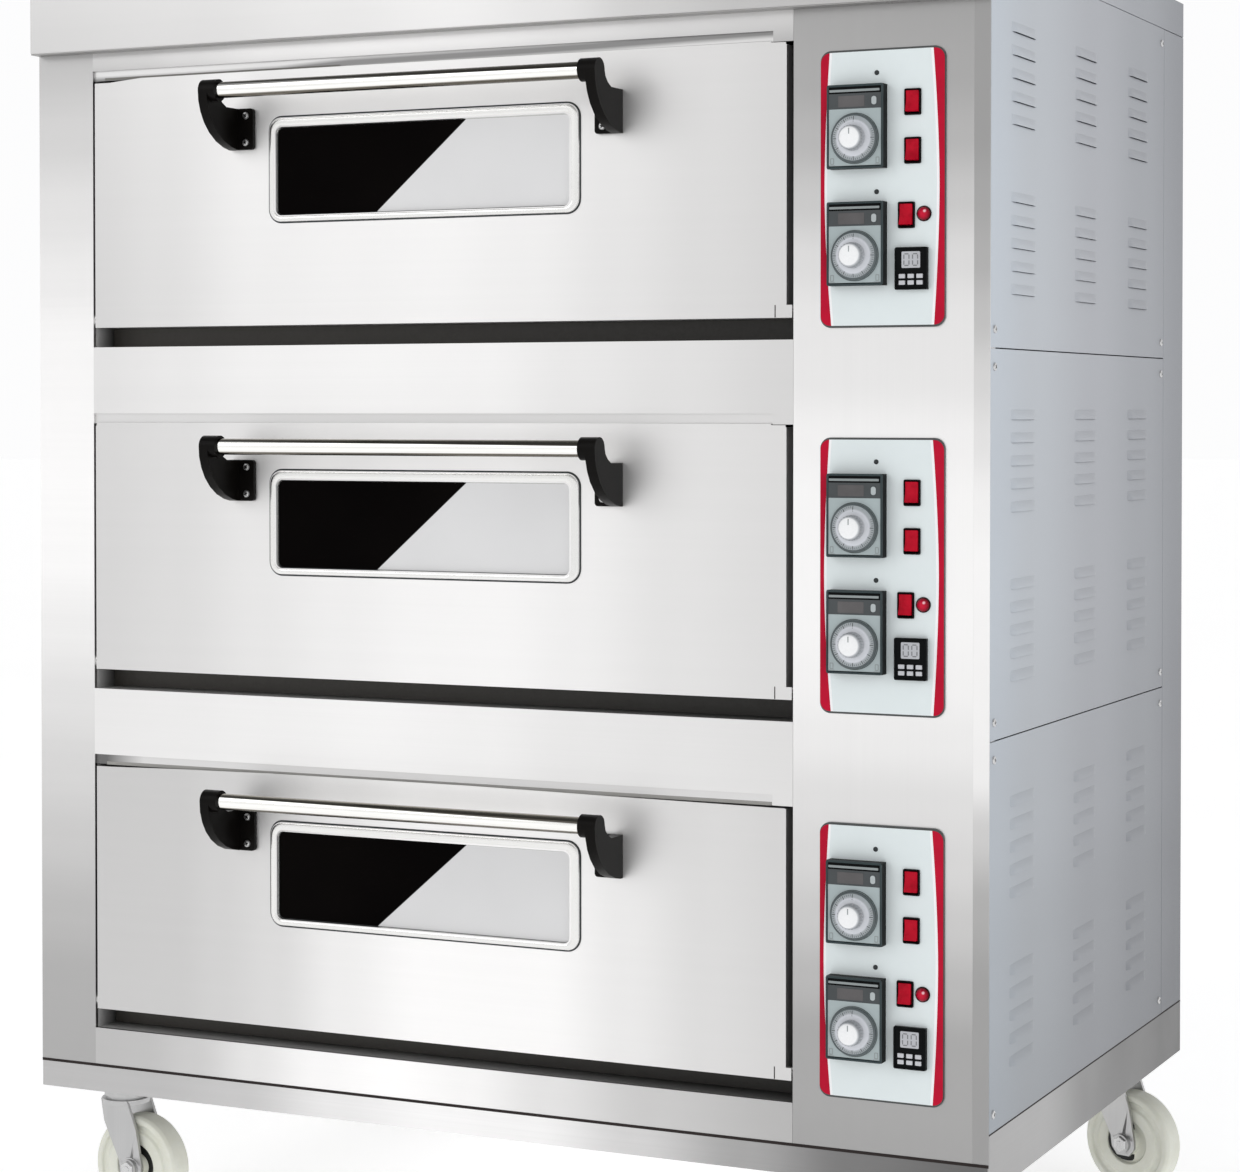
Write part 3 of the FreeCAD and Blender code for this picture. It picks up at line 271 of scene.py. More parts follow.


# front frame steel: painted reflections along Z on the stiles and along X on the bands and rails, painted light under
# the crown, painted shadow on the header strips and painted shade in the door recess
def frame_painted_light(g):
    x = g.X()
    stile = g.ramp(g.fit(g.Z(), 203.0, 1448.0, 0.0, 1.0), ramp_of(STILE_TONE, 203.0, 1448.0), "EASE")
    band = g.ramp(g.fit(x, 80.0, 1005.0, 0.0, 1.0), ramp_of(BAND_TONE, 80.0, 1005.0), "EASE")
    band_low = g.ramp(g.fit(x, 80.0, 1005.0, 0.0, 1.0), ramp_of(BAND_LOW_TONE, 80.0, 1005.0), "EASE")
    band = g.mix(g.calc("GREATER_THAN", g.Z(), 900.0), band_low, band)
    top = g.ramp(g.fit(x, 80.0, 1005.0, 0.0, 1.0), ramp_of(TOP_TONE, 80.0, 1005.0), "EASE")
    # painted light towards the crown, offsetting the shade the crown casts on the rail
    top = g.calc("MULTIPLY", top, g.fit(g.Z(), 1414.0, 1447.0, 1.0, 1.5))
    band = g.mix(g.fit(g.Z(), 1399.0, 1401.0, 0.0, 1.0), band, top)
    rail = g.ramp(g.fit(x, 80.0, 1005.0, 0.0, 1.0), ramp_of(RAIL_TONE, 80.0, 1005.0), "EASE")
    band = g.mix(g.fit(g.Z(), 249.2, 249.8, 0.0, 1.0), rail, band)
    m = g.mix(g.calc("GREATER_THAN", x, 80.0), stile, band)
    # header strips: a painted shadow band that climbs to the right on the upper one, painted shade at the left end of
    # the lower one
    climb = g.ramp(g.fit(x, 80.0, 1005.0, 0.0, 1.0), ramp_of(HEADER_CLIMB, 80.0, 1005.0), "LINEAR")
    centre = g.calc("ADD", g.calc("MULTIPLY", climb, 20.0), sill(2) + 323.0)
    away = g.calc("ABSOLUTE", g.calc("SUBTRACT", g.Z(), centre))
    upper = g.fit(away, 2.2, 7.0, .25, .66)
    lower = g.fit(x, 96.0, 150.0, .16, .69)
    strip = g.mix(g.calc("GREATER_THAN", g.Z(), sill(1)), lower, .69)
    strip = g.mix(g.calc("GREATER_THAN", g.Z(), sill(2)), strip, upper)
    m = g.mix(g.fit(g.Y(), 2.0, 2.6, 0.0, 1.0), m, strip)
    # folded returns inside the door recess: duller, with painted shade darker to the right and to the rear
    inside = g.calc("MULTIPLY", g.fit(x, 80.0, 1005.0, 0.62, 0.16), g.fit(g.Y(), 4.0, 42.0, 1.0, 0.10))
    return g.mix(g.fit(g.Y(), 4.8, 5.4, 0.0, 1.0), m, inside)


def frame_metal(g):
    return g.fit(g.Y(), 4.8, 5.4, 1.0, 0.15)


WARM = (1.0, 0.992, 0.986)
steel("brushed_frame", WARM, 0.38, "x", 0.008, 0.010, frame_painted_light, flat=frame_metal)
# each door has its own copy of the steel with its own painted reflection ramp along X
for tag, k in DECKS:
    steel("brushed_door_" + tag, WARM, 0.47, "x", 0.008, 0.010, along_x(DOOR_TONES[tag], 83.0, 997.0))
# column, corner strip and crown steels: painted reflection ramps from the tables above
steel("brushed_column", WARM, 0.34, "z", 0.008, 0.010, along_z(COLUMN_TONE))
steel("brushed_strip", WARM, 0.34, "z", 0.008, 0.010, along_z(STRIP_TONE))
steel("brushed_crown", WARM, 0.38, "x", 0.008, 0.010, along_x(CROWN_TONE, 0.0, 1230.0))
# dark steel for the crown's underside: painted shade
steel("crown_under", (.37, .365, .36), 0.42, "x", 0.008, 0.010, metallic=1.0)
steel("trim_steel", (0.80, 0.795, 0.78), 0.24, "x", 0.004, 0.01, bump=0.0, spread=0.01)
steel("liner_steel", (0.60, 0.585, 0.56), 0.36, "x", 0.04, 0.06)
steel("zinc", (0.53, 0.53, 0.53), 0.38, "z", 0.03, 0.09, bump=0.05)
steel("screw_steel", (0.62, 0.62, 0.62), 0.27, "z", 0.03, 0.03)
steel("pin_steel", (0.60, 0.60, 0.59), 0.25, "x", 0.03, 0.03)


def side_sheet():
    # satin painted sheet; its right-hand side carries painted light and shade, lighter towards the front and top,
    # darker to the rear and bottom
    g = Graph("side_sheet")
    fine = g.noise(g.mapping((1, 1, 1)), 1100.0, 3.0, 0.7)
    wave = g.noise(g.mapping((1, 1, 1)), 3.1, 4.0, 0.55)
    y = g.ramp(g.fit(g.Y(), 0.0, 800.0, 0.0, 1.0), ((0.0, (.55, .60, .66)), (.2, (.51, .54, .58)), (.5, (.425, .44, .475)),
                                                    (.75, (.355, .37, .40)), (1.0, (.27, .28, .305))), "EASE")
    z = g.ramp(g.fit(g.Z(), 203.0, 1540.0, 0.0, 1.0), ((0.0, .60), (.16, .70), (.27, .81), (.49, .925), (.70, .965), (1.0, .94)), "EASE")
    side = g.calc("GREATER_THAN", g.X(), 1226.0)
    base = g.mix(side, (.46, .475, .50), g.mix(1.0, y, z, "MULTIPLY"))
    base = g.mix(g.fit(wave, 0.3, 0.7, 0.0, 0.10), base, (.36, .37, .39))
    g.put(g.b.inputs["Base Color"], base)
    g.put(g.b.inputs["Roughness"], g.fit(fine, 0.3, 0.7, 0.40, 0.52))
    g.const(Metallic=0.12, Specular_IOR_Level=0.35)
    g.bump(g.calc("ADD", g.calc("MULTIPLY", fine, 0.5), wave), 0.10, 0.0004)
    MATS["side_sheet"] = g.mat


def base_steel():
    g = Graph("base_steel")
    lines = g.noise(g.mapping((1.5, 1.5, 380.0)), 1.0, 4.0, 0.65)
    wave = g.noise(g.mapping((1, 1, 1)), 3.6, 4.0, 0.6)
    # painted reflection on the front rail, bright in the middle and dark to the right; painted shade on the right side,
    # darker towards the rear
    x = g.ramp(g.fit(g.X(), 0.0, 1230.0, 0.0, 1.0), ((0.0, .50), (.13, .51), (.235, .58), (.345, .82), (.45, .93), (.557, .90),
                                                     (.66, .65), (.77, .39), (.87, .20), (1.0, .14)), "EASE")
    side = g.calc("GREATER_THAN", g.X(), 1229.0)
    back = g.ramp(g.fit(g.Y(), 0.0, 800.0, 0.0, 1.0), ((0.0, .39), (.24, .41), (.46, .245), (.675, .185), (.9, .12), (1.0, .11)), "EASE")
    v = g.mix(side, x, back)
    v = g.mix(1.0, v, g.ramp(lines, ((.3, .96), (.7, 1.0))), "MULTIPLY")
    v = g.mix(1.0, v, (1.0, 0.992, 0.99), "MULTIPLY")
    g.put(g.b.inputs["Base Color"], v)
    g.put(g.b.inputs["Roughness"], g.fit(wave, 0.3, 0.7, 0.30, 0.40))
    g.const(Metallic=0.85)
    g.bump(lines, 0.06, 0.0002)
    MATS["base_steel"] = g.mat


def chamber_steel():
    # aluminised sheet, browned by heat in random patches; the strip facing the door gap is near-black painted shade,
    # darker to the right
    g = Graph("chamber_steel")
    wave = g.noise(g.mapping((1, 1, 1)), 7.0, 5.0, 0.62)
    fine = g.noise(g.mapping((1, 1, 1)), 260.0, 3.0, 0.6)
    front = g.fit(g.Y(), 43.0, 60.0, 1.0, 0.0)
    body = g.ramp(wave, ((.25, (.13, .105, .085)), (.5, (.22, .195, .17)), (.75, (.30, .285, .265))))
    edge = g.mix(g.fit(g.X(), 80.0, 1005.0, 0.0, 1.0), (.055, .050, .043), (.022, .020, .017))
    g.put(g.b.inputs["Base Color"], g.mix(front, body, edge))
    g.put(g.b.inputs["Roughness"], g.fit(fine, 0.3, 0.7, 0.42, 0.58))
    g.put(g.b.inputs["Metallic"], g.fit(front, 0.0, 1.0, 0.75, 0.1))
    g.bump(fine, 0.08, 0.0003)
    MATS["chamber_steel"] = g.mat


def hearth_steel():
    g = Graph("hearth_steel")
    wave = g.noise(g.mapping((1, 1, 1)), 9.0, 6.0, 0.65)
    spots = g.cells(g.mapping((1, 1, 1)), 60.0)
    c = g.ramp(wave, ((.3, (.045, .036, .030)), (.55, (.10, .082, .068)), (.75, (.17, .145, .12))))
    c = g.mix(g.fit(spots, 0.02, 0.16, 0.35, 0.0), c, (.02, .016, .013))
    g.put(g.b.inputs["Base Color"], c)
    g.put(g.b.inputs["Roughness"], g.fit(wave, 0.3, 0.7, 0.45, 0.65))
    g.const(Metallic=0.7)
    g.bump(wave, 0.15, 0.0005)
    MATS["hearth_steel"] = g.mat


def heater_tube():
    g = Graph("heater_tube")
    wave = g.noise(g.mapping((1, 1, 1)), 40.0, 4.0, 0.6)
    g.put(g.b.inputs["Base Color"], g.ramp(wave, ((.3, (.060, .058, .050)), (.6, (.115, .105, .085)), (.8, (.16, .13, .10)))))
    g.put(g.b.inputs["Roughness"], g.fit(wave, 0.3, 0.7, 0.38, 0.60))
    g.const(Metallic=0.8)
    g.bump(wave, 0.1, 0.0002)
    MATS["heater_tube"] = g.mat


def mineral_wool():
    g = Graph("mineral_wool")
    fibre = g.noise(g.mapping((18, 160, 240)), 6.0, 6.0, 0.75)
    wave = g.noise(g.mapping((1, 1, 1)), 14.0, 4.0, 0.6)
    c = g.ramp(fibre, ((.3, (.42, .34, .18)), (.55, (.62, .53, .33)), (.8, (.74, .66, .45))))
    g.put(g.b.inputs["Base Color"], g.mix(g.fit(wave, 0.3, 0.7, 0.0, 0.3), c, (.40, .33, .2)))
    g.const(Roughness=0.95, Specular_IOR_Level=0.1)
    g.bump(fibre, 0.6, 0.002)
    MATS["mineral_wool"] = g.mat


def window_glass():
    # outer pane: gloss black on the left, a painted pale-grey reflection on the right of a slanted line;
    # inner pane: dark tinted glass
    g = Graph("window_glass")
    x, y, z = g.X(), g.Y(), g.Z()
    dz = g.calc("SUBTRACT", g.calc("MODULO", g.calc("ADD", z, 171.0), 419.0), 209.5)
    edge = g.calc("MULTIPLY_ADD", dz, 1.15, 541.5)
    right = g.fit(g.calc("SUBTRACT", x, edge), -0.6, 0.6, 0.0, 1.0)
    inner = g.calc("GREATER_THAN", y, 20.0)
    wave = g.noise(g.mapping((1, 1, 1)), 5.0, 3.0, 0.5)
    pale = g.ramp(wave, ((.3, (.72, .72, .725)), (.7, (.765, .765, .77))))
    black = g.ramp(wave, ((.3, (.0018, .0014, .0014)), (.7, (.0035, .0028, .0026))))
    c = g.mix(right, black, pale)
    g.put(g.b.inputs["Base Color"], g.mix(inner, c, (.012, .014, .014)))
    g.put(g.b.inputs["Roughness"], g.fit(g.noise(g.mapping((1, 1, 1)), 30.0, 4.0, 0.6), 0.3, 0.7, 0.05, 0.11))
    g.const(Specular_IOR_Level=0.012, IOR=1.45)
    MATS["window_glass"] = g.mat


def chrome():
    # polished tube: painted reflections, a dark line along the top and, thinner, one along the bottom
    g = Graph("bar_chrome")
    wave = g.noise(g.mapping((3, 140, 140)), 3.0, 4.0, 0.6)
    up = g.calc("DIVIDE", g.calc("SUBTRACT", g.calc("MODULO", g.calc("SUBTRACT", g.Z(), 249.0), 419.0), 299.0), 9.5)
    start = g.fit(g.X(), 284.0, 796.0, 0.66, 0.26)
    top = g.fit(g.calc("SUBTRACT", up, start), -0.10, 0.10, 0.0, 1.0, True)
    low = g.fit(up, -0.72, -0.52, 1.0, 0.0, True)
    c = g.ramp(wave, ((.3, (.90, .895, .865)), (.7, (.96, .955, .93))))
    c = g.mix(top, c, g.ramp(g.fit(up, 0.3, 1.0, 0.0, 1.0), ((0.0, (.040, .036, .032)), (.75, (.10, .095, .08)), (1.0, (.30, .28, .24)))))
    c = g.mix(low, c, (.16, .145, .12))
    g.put(g.b.inputs["Base Color"], c)
    g.put(g.b.inputs["Roughness"], g.fit(wave, 0.3, 0.7, 0.07, 0.13))
    g.const(Metallic=1.0)
    MATS["bar_chrome"] = g.mat


def nylon():
    g = Graph("wheel_nylon")
    wave = g.noise(g.mapping((1, 1, 1)), 30.0, 5.0, 0.6)
    fine = g.noise(g.mapping((1, 1, 1)), 420.0, 3.0, 0.6)
    c = g.ramp(wave, ((.25, (.69, .695, .60)), (.6, (.77, .78, .70)), (.85, (.82, .83, .77))))
    dirt = g.fit(g.calc("MULTIPLY", wave, fine), 0.30, 0.44, 0.0, 0.10)
    g.put(g.b.inputs["Base Color"], g.mix(dirt, c, (.40, .38, .31)))
    g.put(g.b.inputs["Roughness"], g.fit(fine, 0.3, 0.7, 0.36, 0.50))
    g.const(Specular_IOR_Level=0.4, Subsurface_Weight=0.08, Subsurface_Radius=(0.01, 0.009, 0.006))
    g.bump(fine, 0.08, 0.0003)
    MATS["wheel_nylon"] = g.mat


def red_gloss(name, low, mid, high, rough=0.2, spec=0.15, coat=0.0):
    g = Graph(name)
    wave = g.noise(g.mapping((1, 1, 1)), 90.0, 3.0, 0.5)
    g.put(g.b.inputs["Base Color"], g.ramp(wave, ((.25, low), (.5, mid), (.8, high))))
    g.put(g.b.inputs["Roughness"], g.fit(wave, 0.3, 0.7, rough, rough + 0.08))
    g.const(Specular_IOR_Level=spec, Coat_Weight=coat, Coat_Roughness=0.05)
    MATS[name] = g.mat


def dial_face(name, k, up):
    # moulded skirt: grey scale band outside, bright ring inside; the dark outline at the rim and the grey step next to
    # the cap are painted shade
    g = Graph(name)
    dx = g.calc("SUBTRACT", g.X(), 1083.0)
    dz = g.calc("SUBTRACT", g.Z(), sill(k) + up)
    r = g.calc("SQRT", g.calc("ADD", g.calc("MULTIPLY", dx, dx), g.calc("MULTIPLY", dz, dz)))
    c = g.ramp(g.fit(r, 0.0, 27.0, 0.0, 1.0), ((0.0, (.84, .85, .86)), (.50, (.50, .52, .55)), (.56, (.60, .62, .66)),
                                                (.70, (.64, .66, .71)), (.76, (.36, .39, .41)), (.90, (.33, .37, .39)), (.95, (.22, .25, .26))))
    wave = g.noise(g.mapping((1, 1, 1)), 55.0, 3.0, 0.5)
    g.put(g.b.inputs["Base Color"], g.mix(g.fit(wave, .3, .7, 0.0, .12), c, (.55, .56, .58)))
    g.put(g.b.inputs["Roughness"], g.fit(wave, 0.3, 0.7, 0.22, 0.34))
    g.const(Specular_IOR_Level=0.5)
    MATS[name] = g.mat


def rope_seal():
    g = Graph("rope_seal")
    n = g.nt.nodes.new("ShaderNodeTexWave")
    n.wave_type = "BANDS"
    n.bands_direction = "DIAGONAL"
    n.inputs["Scale"].default_value = 90.0
    n.inputs["Distortion"].default_value = 1.5
    g.put(n.inputs["Vector"], g.tc.outputs["Object"])
    g.put(g.b.inputs["Base Color"], g.ramp(n.outputs["Fac"], ((.2, (.035, .033, .030)), (.8, (.085, .080, .072)))))
    g.const(Roughness=0.9, Specular_IOR_Level=0.15)
    g.bump(n.outputs["Fac"], 0.5, 0.0012)
    MATS["rope_seal"] = g.mat


side_sheet()
base_steel()
chamber_steel()
hearth_steel()
heater_tube()
mineral_wool()
window_glass()
chrome()
nylon()
rope_seal()
red_gloss("rocker_red", (.34, .001, .012), (.47, .002, .018), (.56, .005, .024), 0.24, 0.10)


def lamp_lens():
    # moulded lens: painted shade darkening the rim, a painted highlight at the upper right
    g = Graph("lamp_red")
    dx = g.calc("SUBTRACT", g.X(), 1157.0)
    dz = g.calc("SUBTRACT", g.calc("MODULO", g.calc("SUBTRACT", g.Z(), 249.0), 419.0), 133.0)

    def away(ox, oz):
        a, b = g.calc("SUBTRACT", dx, ox), g.calc("SUBTRACT", dz, oz)
        return g.calc("SQRT", g.calc("ADD", g.calc("MULTIPLY", a, a), g.calc("MULTIPLY", b, b)))

    c = g.ramp(g.fit(away(0.0, 0.0), 0.0, 7.5, 0.0, 1.0), ((0.0, (.62, .010, .040)), (.5, (.50, .004, .030)), (.8, (.26, .002, .016)), (1.0, (.07, .002, .006))))
    c = g.mix(g.fit(away(2.2, 2.6), 0.6, 2.2, 0.85, 0.0, True), c, (.95, .62, .68))
    g.put(g.b.inputs["Base Color"], c)
    g.put(g.b.inputs["Roughness"], g.fit(g.noise(g.mapping((1, 1, 1)), 300.0, 2.0, 0.5), 0.3, 0.7, 0.10, 0.16))
    g.const(Specular_IOR_Level=0.15)
    MATS["lamp_red"] = g.mat


lamp_lens()
for tag, k in DECKS:
    dial_face("dial_%s_bottom" % tag, k, 89.0)
    dial_face("dial_%s_top" % tag, k, 215.0)
    for up in (89.0, 215.0):
        # knob: white cap, painted shade darkening the flutes
        g = Graph("grip_%s_%d" % (tag, up))
        dx, dz = g.calc("SUBTRACT", g.X(), 1083.0), g.calc("SUBTRACT", g.Z(), sill(k) + up)
        r = g.calc("SQRT", g.calc("ADD", g.calc("MULTIPLY", dx, dx), g.calc("MULTIPLY", dz, dz)))
        fine = g.noise(g.mapping((1, 1, 1)), 300.0, 3.0, 0.5)
        c = g.ramp(g.fit(r, 0.0, 14.0, 0.0, 1.0), ((0.0, (.93, .94, .95)), (.76, (.90, .91, .92)), (.84, (.52, .54, .57)), (.93, (.30, .32, .34)), (1.0, (.42, .44, .47))))
        g.put(g.b.inputs["Base Color"], g.mix(g.fit(fine, .3, .7, 0.0, .05), c, (.5, .5, .5)))
        g.put(g.b.inputs["Roughness"], g.fit(fine, .3, .7, .24, .32))
        g.const(Specular_IOR_Level=0.4)
        MATS["grip_%s_%d" % (tag, up)] = g.mat
plastic("bracket_black", (.0042, .0036, .0032), 0.34, 0.07, 0.05, 700.0, 0.2, 0.10)
plastic("case_black", (.0040, .0048, .0052), 0.42, 0.05, 0.05, 900.0, 0.2, 0.06)
plastic("bezel_black", (.0050, .0035, .0040), 0.40, 0.06, 0.05, 900.0, 0.2, 0.06)
# dark grey of the fascia plate, left showing at its rims as painted shade
plastic("fascia_edge", (.075, .080, .080), 0.45, 0.2)
plastic("fascia_field", (.76, .825, .835), 0.34, 0.3, 0.04, 1200.0, 0.012, 0.03)
plastic("fascia_white", (.93, .92, .94), 0.34, 0.3, 0.04, 1200.0, 0.01, 0.03)
plastic("fascia_red", (.50, .004, .030), 0.38, 0.10, 0.04, 1200.0, 0.10, 0.03)
plastic("trim_teal", (.040, .056, .060), 0.40, 0.15, 0.05, 900.0, 0.12, 0.05)
plastic("rim_grey", (.095, .115, .120), 0.36, 0.3, 0.05, 900.0, 0.10, 0.05)
plastic("face_grey", (.40, .465, .475), 0.36, 0.3, 0.05, 900.0, 0.05, 0.05)
plastic("strip_dark", (.070, .078, .082), 0.36, 0.2, 0.05, 900.0, 0.08, 0.04)
plastic("window_dark", (.115, .11, .112), 0.16, 0.2, 0.03, 900.0, 0.12, 0.01)
# pale grey for the controller top lines, which are a painted highlight, and for the corner marks and dial pointers
plastic("glint_grey", (.27, .30, .305), 0.30, 0.4, 0.05, 900.0, 0.05, 0.03)
plastic("lens_white", (.44, .48, .49), 0.16, 0.4, 0.03, 900.0, 0.05, 0.01)
plastic("key_light", (.56, .57, .60), 0.36, 0.3, 0.05, 900.0, 0.05, 0.05)
plastic("display_pale", (.50, .51, .54), 0.22, 0.3, 0.03, 900.0, 0.05, 0.01)
plastic("segment_grey", (.20, .205, .215), 0.4, 0.2, 0.03, 900.0, 0.05, 0.01)
plastic("mark_dark", (.035, .040, .042), 0.4, 0.2)
plastic("dial_white", (.86, .87, .88), 0.26, 0.45, 0.04, 900.0, 0.02, 0.04)
# seal_upper and seal_lower: painted shadow strips at the foot of the headers, darker on the upper deck
plastic("seal_upper", (.20, .195, .18), 0.5, 0.2)
plastic("seal_lower", (.33, .325, .31), 0.5, 0.2)
# near-black painted shadow for the gaps at the base joint and beside the door lugs
plastic("sealant", (.026, .020, .019), 0.6, 0.15, 0.05, 500.0, 0.2, 0.1)
plastic("switchgear", (.10, .105, .11), 0.42, 0.4, 0.05, 600.0, 0.1, 0.08)
plastic("wheel_seal", (.012, .013, .012), 0.45, 0.3, 0.05, 600.0, 0.2, 0.08)


# ---------------------------------------------------------------- mesh building
class Shell:
    """Vertices and faces in working millimetres, one or more closed shells."""

    def __init__(self):
        self.v, self.f = [], []

    def add(self, verts, faces):
        n = len(self.v)
        self.v.extend(verts)
        self.f.extend(tuple(i + n for i in f) for f in faces)
        return self

    def box(self, x0, x1, y0, y1, z0, z1):
        v = [(x, y, z) for x in (x0, x1) for y in (y0, y1) for z in (z0, z1)]
        return self.add(v, [(0, 1, 3, 2), (4, 6, 7, 5), (0, 4, 5, 1), (2, 3, 7, 6), (0, 2, 6, 4), (1, 5, 7, 3)])

    def plate(self, loops, y0, y1):
        """A flat plate in XZ from loops of (x, z): the outline first, then its holes."""
        tri = geometry.tessellate_polygon([[Vector((x, z, 0.0)) for x, z in lp] for lp in loops])
        flat = [p for lp in loops for p in lp]
        n = len(flat)
        v = [(x, y0, z) for x, z in flat] + [(x, y1, z) for x, z in flat]
        f = [tuple(t) for t in tri] + [tuple(i + n for i in reversed(t)) for t in tri]
        s = 0
        for lp in loops:
            m = len(lp)
            for i in range(m):
                j = (i + 1) % m
                f.append((s + i, s + j, s + j + n, s + i + n))
            s += m
        return self.add(v, f)

    def loft(self, rings, wrap=True):
        """Rings of equal length joined side by side; wrap joins the last to the first."""
        m = len(rings[0])
        v = [p for r in rings for p in r]
        f = []
        for a in range(len(rings) if wrap else len(rings) - 1):
            b = (a + 1) % len(rings)
            for i in range(m):
                j = (i + 1) % m
                f.append((a * m + i, a * m + j, b * m + j, b * m + i))
        return self.add(v, f)

    def lathe(self, centre, axis, prof, seg=48, wobble=None):
        """Turned solid: prof is (radius, height along axis) pairs; ends at radius 0 close it, else it wraps to a ring."""
        a = Vector(axis).normalized()
        u = a.orthogonal().normalized()
        if abs(a.y) > 0.9:
            u = Vector((1, 0, 0))
        w = a.cross(u)
        c = Vector(centre)
        closed = prof[0][0] < 1e-6 and prof[-1][0] < 1e-6
        rings, v, f = [], [], []
        for r, h in prof:
            if r < 1e-6:
                rings.append([len(v)])
                v.append(tuple(c + a * h))
            else:
                row = []
                for i in range(seg):
                    t = 2 * math.pi * i / seg
                    rr = r + (wobble(t, r, h) if wobble else 0.0)
                    row.append(len(v))
                    v.append(tuple(c + a * h + u * (rr * math.cos(t)) + w * (rr * math.sin(t))))
                rings.append(row)
        for q in range(len(rings) if not closed else len(rings) - 1):
            A, B = rings[q], rings[(q + 1) % len(rings)]
            for i in range(seg):
                j = (i + 1) % seg
                if len(A) == 1:
                    f.append((A[0], B[i], B[j]))
                elif len(B) == 1:
                    f.append((A[i], A[j], B[0]))
                else:
                    f.append((A[i], A[j], B[j], B[i]))
        return self.add(v, f)

    def build(self, name, mat, body, slot=None, angle=32.0, bevel=0.0, segments=2):
        me = bpy.data.meshes.new(name)
        me.from_pydata([P(*p) for p in self.v], [], self.f)
        bm = bmesh.new()
        bm.from_mesh(me)
        bmesh.ops.remove_doubles(bm, verts=bm.verts, dist=1e-6)
        bmesh.ops.recalc_face_normals(bm, faces=bm.faces)
        bm.to_mesh(me)
        bm.free()
        me.materials.append(MATS[mat])
        for p in me.polygons:
            p.use_smooth = True
        me.set_sharp_from_angle(angle=math.radians(angle))
        ob = bpy.data.objects.new(name, me)
        bpy.context.scene.collection.objects.link(ob)
        if bevel:
            m = ob.modifiers.new("edges", "BEVEL")
            m.width = bevel * MM
            m.segments = segments
            m.limit_method = "ANGLE"
            m.angle_limit = math.radians(40.0)
            m.harden_normals = True
        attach(ob, body)
        return ob


def rrect(cx, cz, w, h, r, n=7):
    """Rounded rectangle as (x, z) points, counter-clockwise."""
    r = max(0.01, min(r, w / 2 - 0.01, h / 2 - 0.01))
    pts = []
    for sx, sz, a0 in ((1, -1, -90), (1, 1, 0), (-1, 1, 90), (-1, -1, 180)):
        for i in range(n + 1):
            a = math.radians(a0 + 90.0 * i / n)
            pts.append((cx + sx * (w / 2 - r) + r * math.cos(a), cz + sz * (h / 2 - r) + r * math.sin(a)))
    return pts


def disc(cx, cz, r, n=40):
    return [(cx + r * math.cos(2 * math.pi * i / n), cz + r * math.sin(2 * math.pi * i / n)) for i in range(n)]


def ring3(loop, y):
    return [(x, y, z) for x, z in loop]


# ---------------------------------------------------------------- CAD nodes: finishes and softened edges
NODE_MATS = {
    "base_frame": ("base_steel", 1.0), "caster_plates": ("zinc", 0.6), "front_frame": ("brushed_frame", 0.6),
    "control_column": ("brushed_column", 0.6), "side_panels": ("side_sheet", 0.5), "rear_panel": ("side_sheet", 0.9),
    "top_cover": ("side_sheet", 1.0), "crown": ("brushed_crown", 1.4), "chamber_liners": ("chamber_steel", 0.4),
    "hearth_plates": ("hearth_steel", 0.8), "heating_elements": ("heater_tube", 0.0), "insulation": ("mineral_wool", 3.0),
    "control_fascias": ("fascia_edge", 0.5), "instrument_bodies": ("case_black", 0.7), "switch_bodies": ("bezel_black", 0.6),
    "signal_lamps": ("lamp_red", 0.0), "switchgear_and_gland": ("switchgear", 0.8), "hinge_pins": ("pin_steel", 0.3),
}
for tag, k in DECKS:
    NODE_MATS["door_panel_" + tag] = ("brushed_door_" + tag, 0.0)
    NODE_MATS["door_liner_" + tag] = ("liner_steel", 0.6)
    NODE_MATS["door_glass_" + tag] = ("window_glass", 0.5)
    NODE_MATS["handle_bar_" + tag] = ("bar_chrome", 0.0)
    NODE_MATS["handle_brackets_" + tag] = ("bracket_black", 1.6)
    NODE_MATS["timer_keys_" + tag] = ("key_light", 0.5)
    for pos in ("bottom", "top"):
        NODE_MATS["temperature_dial_%s_%s" % (tag, pos)] = ("dial_%s_%s" % (tag, pos), 0.0)
    for t, rx, rz in ROCKERS:
        NODE_MATS["rocker_%s_%s" % (tag, t)] = ("rocker_red", 0.7)
for tag, cx, cy, ang in CASTERS:
    NODE_MATS["caster_fork_" + tag] = ("zinc", 0.9)
    NODE_MATS["caster_wheel_" + tag] = ("wheel_nylon", 1.2)
for n, ob in NODES.items():
    if n == "panel_screws":
        continue
    mat, soft = NODE_MATS[n]
    if not ob.material_slots:
        ob.data.materials.append(MATS[mat])
    for s in ob.material_slots:
        s.material = MATS[mat]
    if soft > 0:
        weld = ob.modifiers.new("weld", "WELD")
        weld.merge_threshold = 0.00001
        m = ob.modifiers.new("edges", "BEVEL")
        m.width = soft * MM
        m.segments = 2
        m.limit_method = "ANGLE"
        m.angle_limit = math.radians(34.0)
        m.use_clamp_overlap = True
        m = ob.modifiers.new("normals", "WEIGHTED_NORMAL")
        m.mode = "FACE_AREA"
        m.weight = 50
        m.keep_sharp = False

